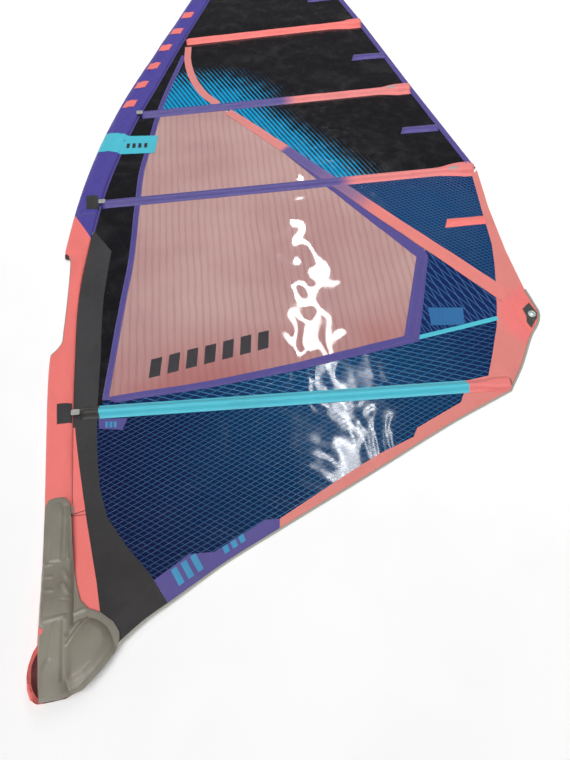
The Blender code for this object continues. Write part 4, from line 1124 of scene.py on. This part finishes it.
def fairing():
    loops = [np.array(NEAR_HALF)]
    points, faces = triangulated(loops if signed_area(NEAR_HALF) > 0 else [loops[0][::-1]], 0.0035)
    x, y = points.T
    top = fairing_top(x, y)
    edge = smooth(distance(x, y, NEAR_HALF + NEAR_HALF[:1]) / 0.004)
    shell = closed_sheet(points, faces, top - 0.0012 * (1 - edge), top - 0.0030)
    skin = piece("fairing_shell", *shell, "foam", None)
    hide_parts("fairing_flap", "fairing_tongue")
    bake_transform(skin)

    loop = np.array(FAR_HALF)
    points, faces = triangulated([loop if signed_area(loop) > 0 else loop[::-1]], 0.006)
    x, y = points.T
    cloth_here = CLOTH_Z + rise(x, y)
    front = np.interp(y, [0.0, 0.075, 0.16, 0.34], [-0.006, -0.032, -0.009, -0.006])
    mast = dome((x - front) / (0.106 - front), 2.2)
    away = ((x - BLOCK[0]) / 0.085) ** 2 + ((y - 0.105) / 0.105) ** 2
    deep = np.maximum(mast, np.sqrt(np.maximum(0, 1 - away)))
    inner = cloth_here - 0.0022 - np.maximum(0, cloth_here - 0.0076) * deep
    liner = piece("fairing_liner", *closed_sheet(points, faces, inner, inner - 0.0045), "liner")
    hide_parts("fairing_base")


def placed(x, y, z):
    return (x - ORIGIN[0], y - ORIGIN[1], z)


# ---------------------------------------------------------------- hardware
def eyelet():
    """The clew's pressed ring, with a rolled lip."""
    profile = [(0.0080, -0.0006), (0.0078, 0.0010), (0.0080, 0.0036), (0.0092, 0.0048), (0.0112, 0.0052),
               (0.0135, 0.0046), (0.0150, 0.0034), (0.0152, 0.0026), (0.0112, 0.0024), (0.0110, 0.0006),
               (0.0152, 0.0004), (0.0148, -0.0006), (0.0120, -0.0014), (0.0092, -0.0014)]
    steps = 48
    turns = [2 * math.pi * i / steps for i in range(steps)]
    rows = [(CLEW[0] + r * math.cos(a), CLEW[1] + r * math.sin(a), CLOTH_Z + z)
            for r, z in profile for a in turns]
    faces = grid_faces(len(profile), steps, closed=True)
    last = (len(profile) - 1) * steps
    faces += [(last + i, last + (i + 1) % steps, (i + 1) % steps, i) for i in range(steps)]
    ring = piece("eyelet_ring", rows, [f[::-1] for f in faces], "ring")
    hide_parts("clew_eyelet")


def webbing(name, node, body, size):
    """A flat strap in its CAD node's place, along the sleeve's straight top."""
    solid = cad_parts[node].data
    corners = np.array([tuple(v.co) for v in solid.vertices]) + (*ORIGIN, 0)
    centre = (corners.max(0) + corners.min(0)) / 2
    length, width = size
    lean = math.atan2(1.0, LUFF_SLOPE)
    run, side = np.array([math.cos(lean), math.sin(lean)]), np.array([-math.sin(lean), math.cos(lean)])
    rows, stations, shares = [], np.linspace(-length / 2, length / 2, 40), np.linspace(-1, 1, 9)
    for s in stations:
        plan = centre[:2] + s * run + np.multiply.outer(shares * width / 2, side)
        height = np.full(len(shares), centre[2] + 0.0003 * np.sin(60 * s))
        rows.append(np.column_stack([plan, height]))
    faces = [f[::-1] for f in grid_faces(len(stations), len(shares))]
    strap = piece(name, np.concatenate(rows), faces, "webbing", body)
    thicken(strap, 0.0014, 0.0)
    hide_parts(node)


def hardware():
    looks = {"clew_plate": "plate", "pulley_block": "steel", "pulley_axle": "steel", "buckle_lever": "steel",
             "head_cap": "plastic", "strap_buckle": "plastic"}
    looks |= {f"pulley_sheave_{i}": "plastic" for i in (1, 2, 3)}
    for i in range(1, 6):
        looks |= {f"batten_{i}": "glass", f"tensioner_housing_{i}": "plastic", f"tensioner_screw_{i}": "steel"}
    for node, look in looks.items():
        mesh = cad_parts[node].data
        mesh.materials.clear()
        mesh.materials.append(LOOKS[look])
    for node, width in (("clew_plate", 0.0003), ("pulley_block", 0.0012), ("strap_buckle", 0.0012),
                        ("buckle_lever", 0.0008), ("head_cap", 0.0008)):
        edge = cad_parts[node].modifiers.new("soft_edge", "BEVEL")
        edge.width, edge.segments, edge.limit_method = width, 2, "ANGLE"
    eyelet()
    webbing("head_strap_webbing", "head_strap", "head_cap", (0.2135, 0.025))
    tack_loop()


def tack_loop():
    """A strap that wraps the pulley's pin and is sewn to the gusset."""
    z = CLOTH_Z + float(rise(BLOCK[0], BLOCK[1]))
    pin = BLOCK[1] + 0.040
    radius = 0.0052
    angles = np.linspace(math.radians(40), math.radians(320), 18)
    turn = [(pin + radius * math.cos(a), z + radius * math.sin(a)) for a in angles]
    path = [(pin + 0.022, z + 0.0009), (pin + 0.012, z + 0.0011), *turn, (pin + 0.012, z - 0.0011),
            (pin + 0.022, z - 0.0009)]
    shares = np.linspace(-0.0122, 0.0122, 9)
    rows = [[(BLOCK[0] + u, y, height) for u in shares] for y, height in path]
    strap = piece("tack_strap", np.concatenate(rows), grid_faces(len(path), 9), "webbing")
    thicken(strap, 0.0012, 0.0)
    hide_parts("tack_webbing")


def tie_cords():
    """The two thin cords that tie the fairing's tongue to the luff panel, and their tab."""
    ends = [((0.080, 0.527), (0.126, 0.537)), ((0.080, 0.524), (0.129, 0.522))]
    for number, (start, end) in enumerate(ends, 1):
        t = np.linspace(0, 1, 16)
        xy = np.outer(1 - t, start) + np.outer(t, end)
        z = over_sleeve(xy[:, 0], xy[:, 1]) + 0.0022 + 0.004 * (1 - t) ** 2
        path = np.column_stack([xy, z])
        cord = tube(f"tie_cord_{number}", path, 0.0008, "webbing")
    laid("cord_tab", [np.array([(0.076, 0.530), (0.088, 0.530), (0.088, 0.556), (0.077, 0.556)])], "clip",
         height=over_sleeve, lift=0.002, thick=0.001, spacing=0.004)


# ---------------------------------------------------------------- the room
def stage():
    floor = bpy.data.meshes.new("floor")
    size, level = 60.0, -0.0012
    corners = [(-size, -size, level), (size, -size, level), (size, size, level), (-size, size, level)]
    floor.from_pydata(corners, [], [(0, 1, 2, 3)])
    look = Look("floor")
    look.colour(look.mix(look.span(look.noise(2.0), 0.3, 0.7), (0.93, 0.93, 0.93, 1), (0.96, 0.96, 0.96, 1)))
    look.uneven(5.0, 0.85, 0.95)
    floor.materials.append(look.material)
    plane = bpy.data.objects.new("floor", floor)
    bpy.context.scene.collection.objects.link(plane)


def lamp(name, centre, size, power, aim):
    """A rectangular light at a plan position, facing another."""
    data = bpy.data.lights.new(name, "AREA")
    data.shape = "RECTANGLE"
    data.size, data.size_y = size
    data.energy = power
    obj = bpy.data.objects.new(name, data)
    bpy.context.scene.collection.objects.link(obj)
    obj.location = placed(*centre)
    obj.rotation_mode = "QUATERNION"
    obj.rotation_quaternion = (Vector(placed(*aim)) - obj.location).to_track_quat("-Z", "Y")
    return obj


def lights():
    lamp("tube_light", (1.62, 3.05, 3.0), (0.13, 3.6), 34, (1.62, 3.05, 0))
    data = bpy.data.lights.new("soft_daylight", "SUN")
    data.energy, data.angle = 2.7, math.radians(50)
    sun = bpy.data.objects.new("soft_daylight", data)
    bpy.context.scene.collection.objects.link(sun)
    sun.rotation_mode = "QUATERNION"
    sun.rotation_quaternion = Vector((0.16, 0.36, -1.0)).to_track_quat("-Z", "Y")
    world = bpy.data.worlds.new("studio")
    world.use_nodes = True
    background = world.node_tree.nodes["Background"]
    nodes, links = world.node_tree.nodes, world.node_tree.links
    height = nodes.new("ShaderNodeSeparateXYZ")
    links.new(nodes.new("ShaderNodeTexCoord").outputs["Generated"], height.inputs[0])
    ramp = nodes.new("ShaderNodeMapRange")
    ramp.interpolation_type = "SMOOTHSTEP"
    horizon, overhead, bright, dim = 0.02, 0.26, 0.90, 0.10
    for socket, value in zip(ramp.inputs[1:5], (horizon, overhead, bright, dim)):
        socket.default_value = value
    links.new(height.outputs["Z"], ramp.inputs[0])
    links.new(ramp.outputs[0], background.inputs["Color"])
    bpy.context.scene.world = world


def camera():
    data = bpy.data.cameras.new("camera")
    data.lens, data.sensor_width, data.shift_y = 27.05, 36.0, 0.0658
    obj = bpy.data.objects.new("camera", data)
    bpy.context.scene.collection.objects.link(obj)
    right, up = Vector((0.9854, -0.1702, 0)), Vector((0.1517, 0.8780, 0.4540))
    forward = Vector((0.0773, 0.4474, -0.8910))
    turn = Matrix((right, up, -forward)).transposed().to_4x4()
    obj.matrix_world = Matrix.Translation(placed(0.642, -0.150, 1.716)) @ turn
    bpy.context.scene.camera = obj


# ---------------------------------------------------------------- everything
camera()
lights()
stage()
bpy.context.scene.view_settings.view_transform = "Standard"
panels()
seam_tape()
reinforcement_strips()
labels()
sleeves()
for i, (look, slot, flare) in enumerate([("pocket_1", "aqua_tape", 0.026), ("pocket_2", "purple_cloth", 0.046),
                                         ("pocket_3", "purple_cloth", 0.043), ("coral", "coral_cloth", 0.040),
                                         ("tape", "purple_cloth", 0.036)]):
    pocket(i, look, flare)
for i in range(4):
    mini_pocket(i)
batten_noses()
leech_marks()
piping()
stitching()
marks()
fairing()
tie_cords()
hardware()

bpy.context.view_layer.update()
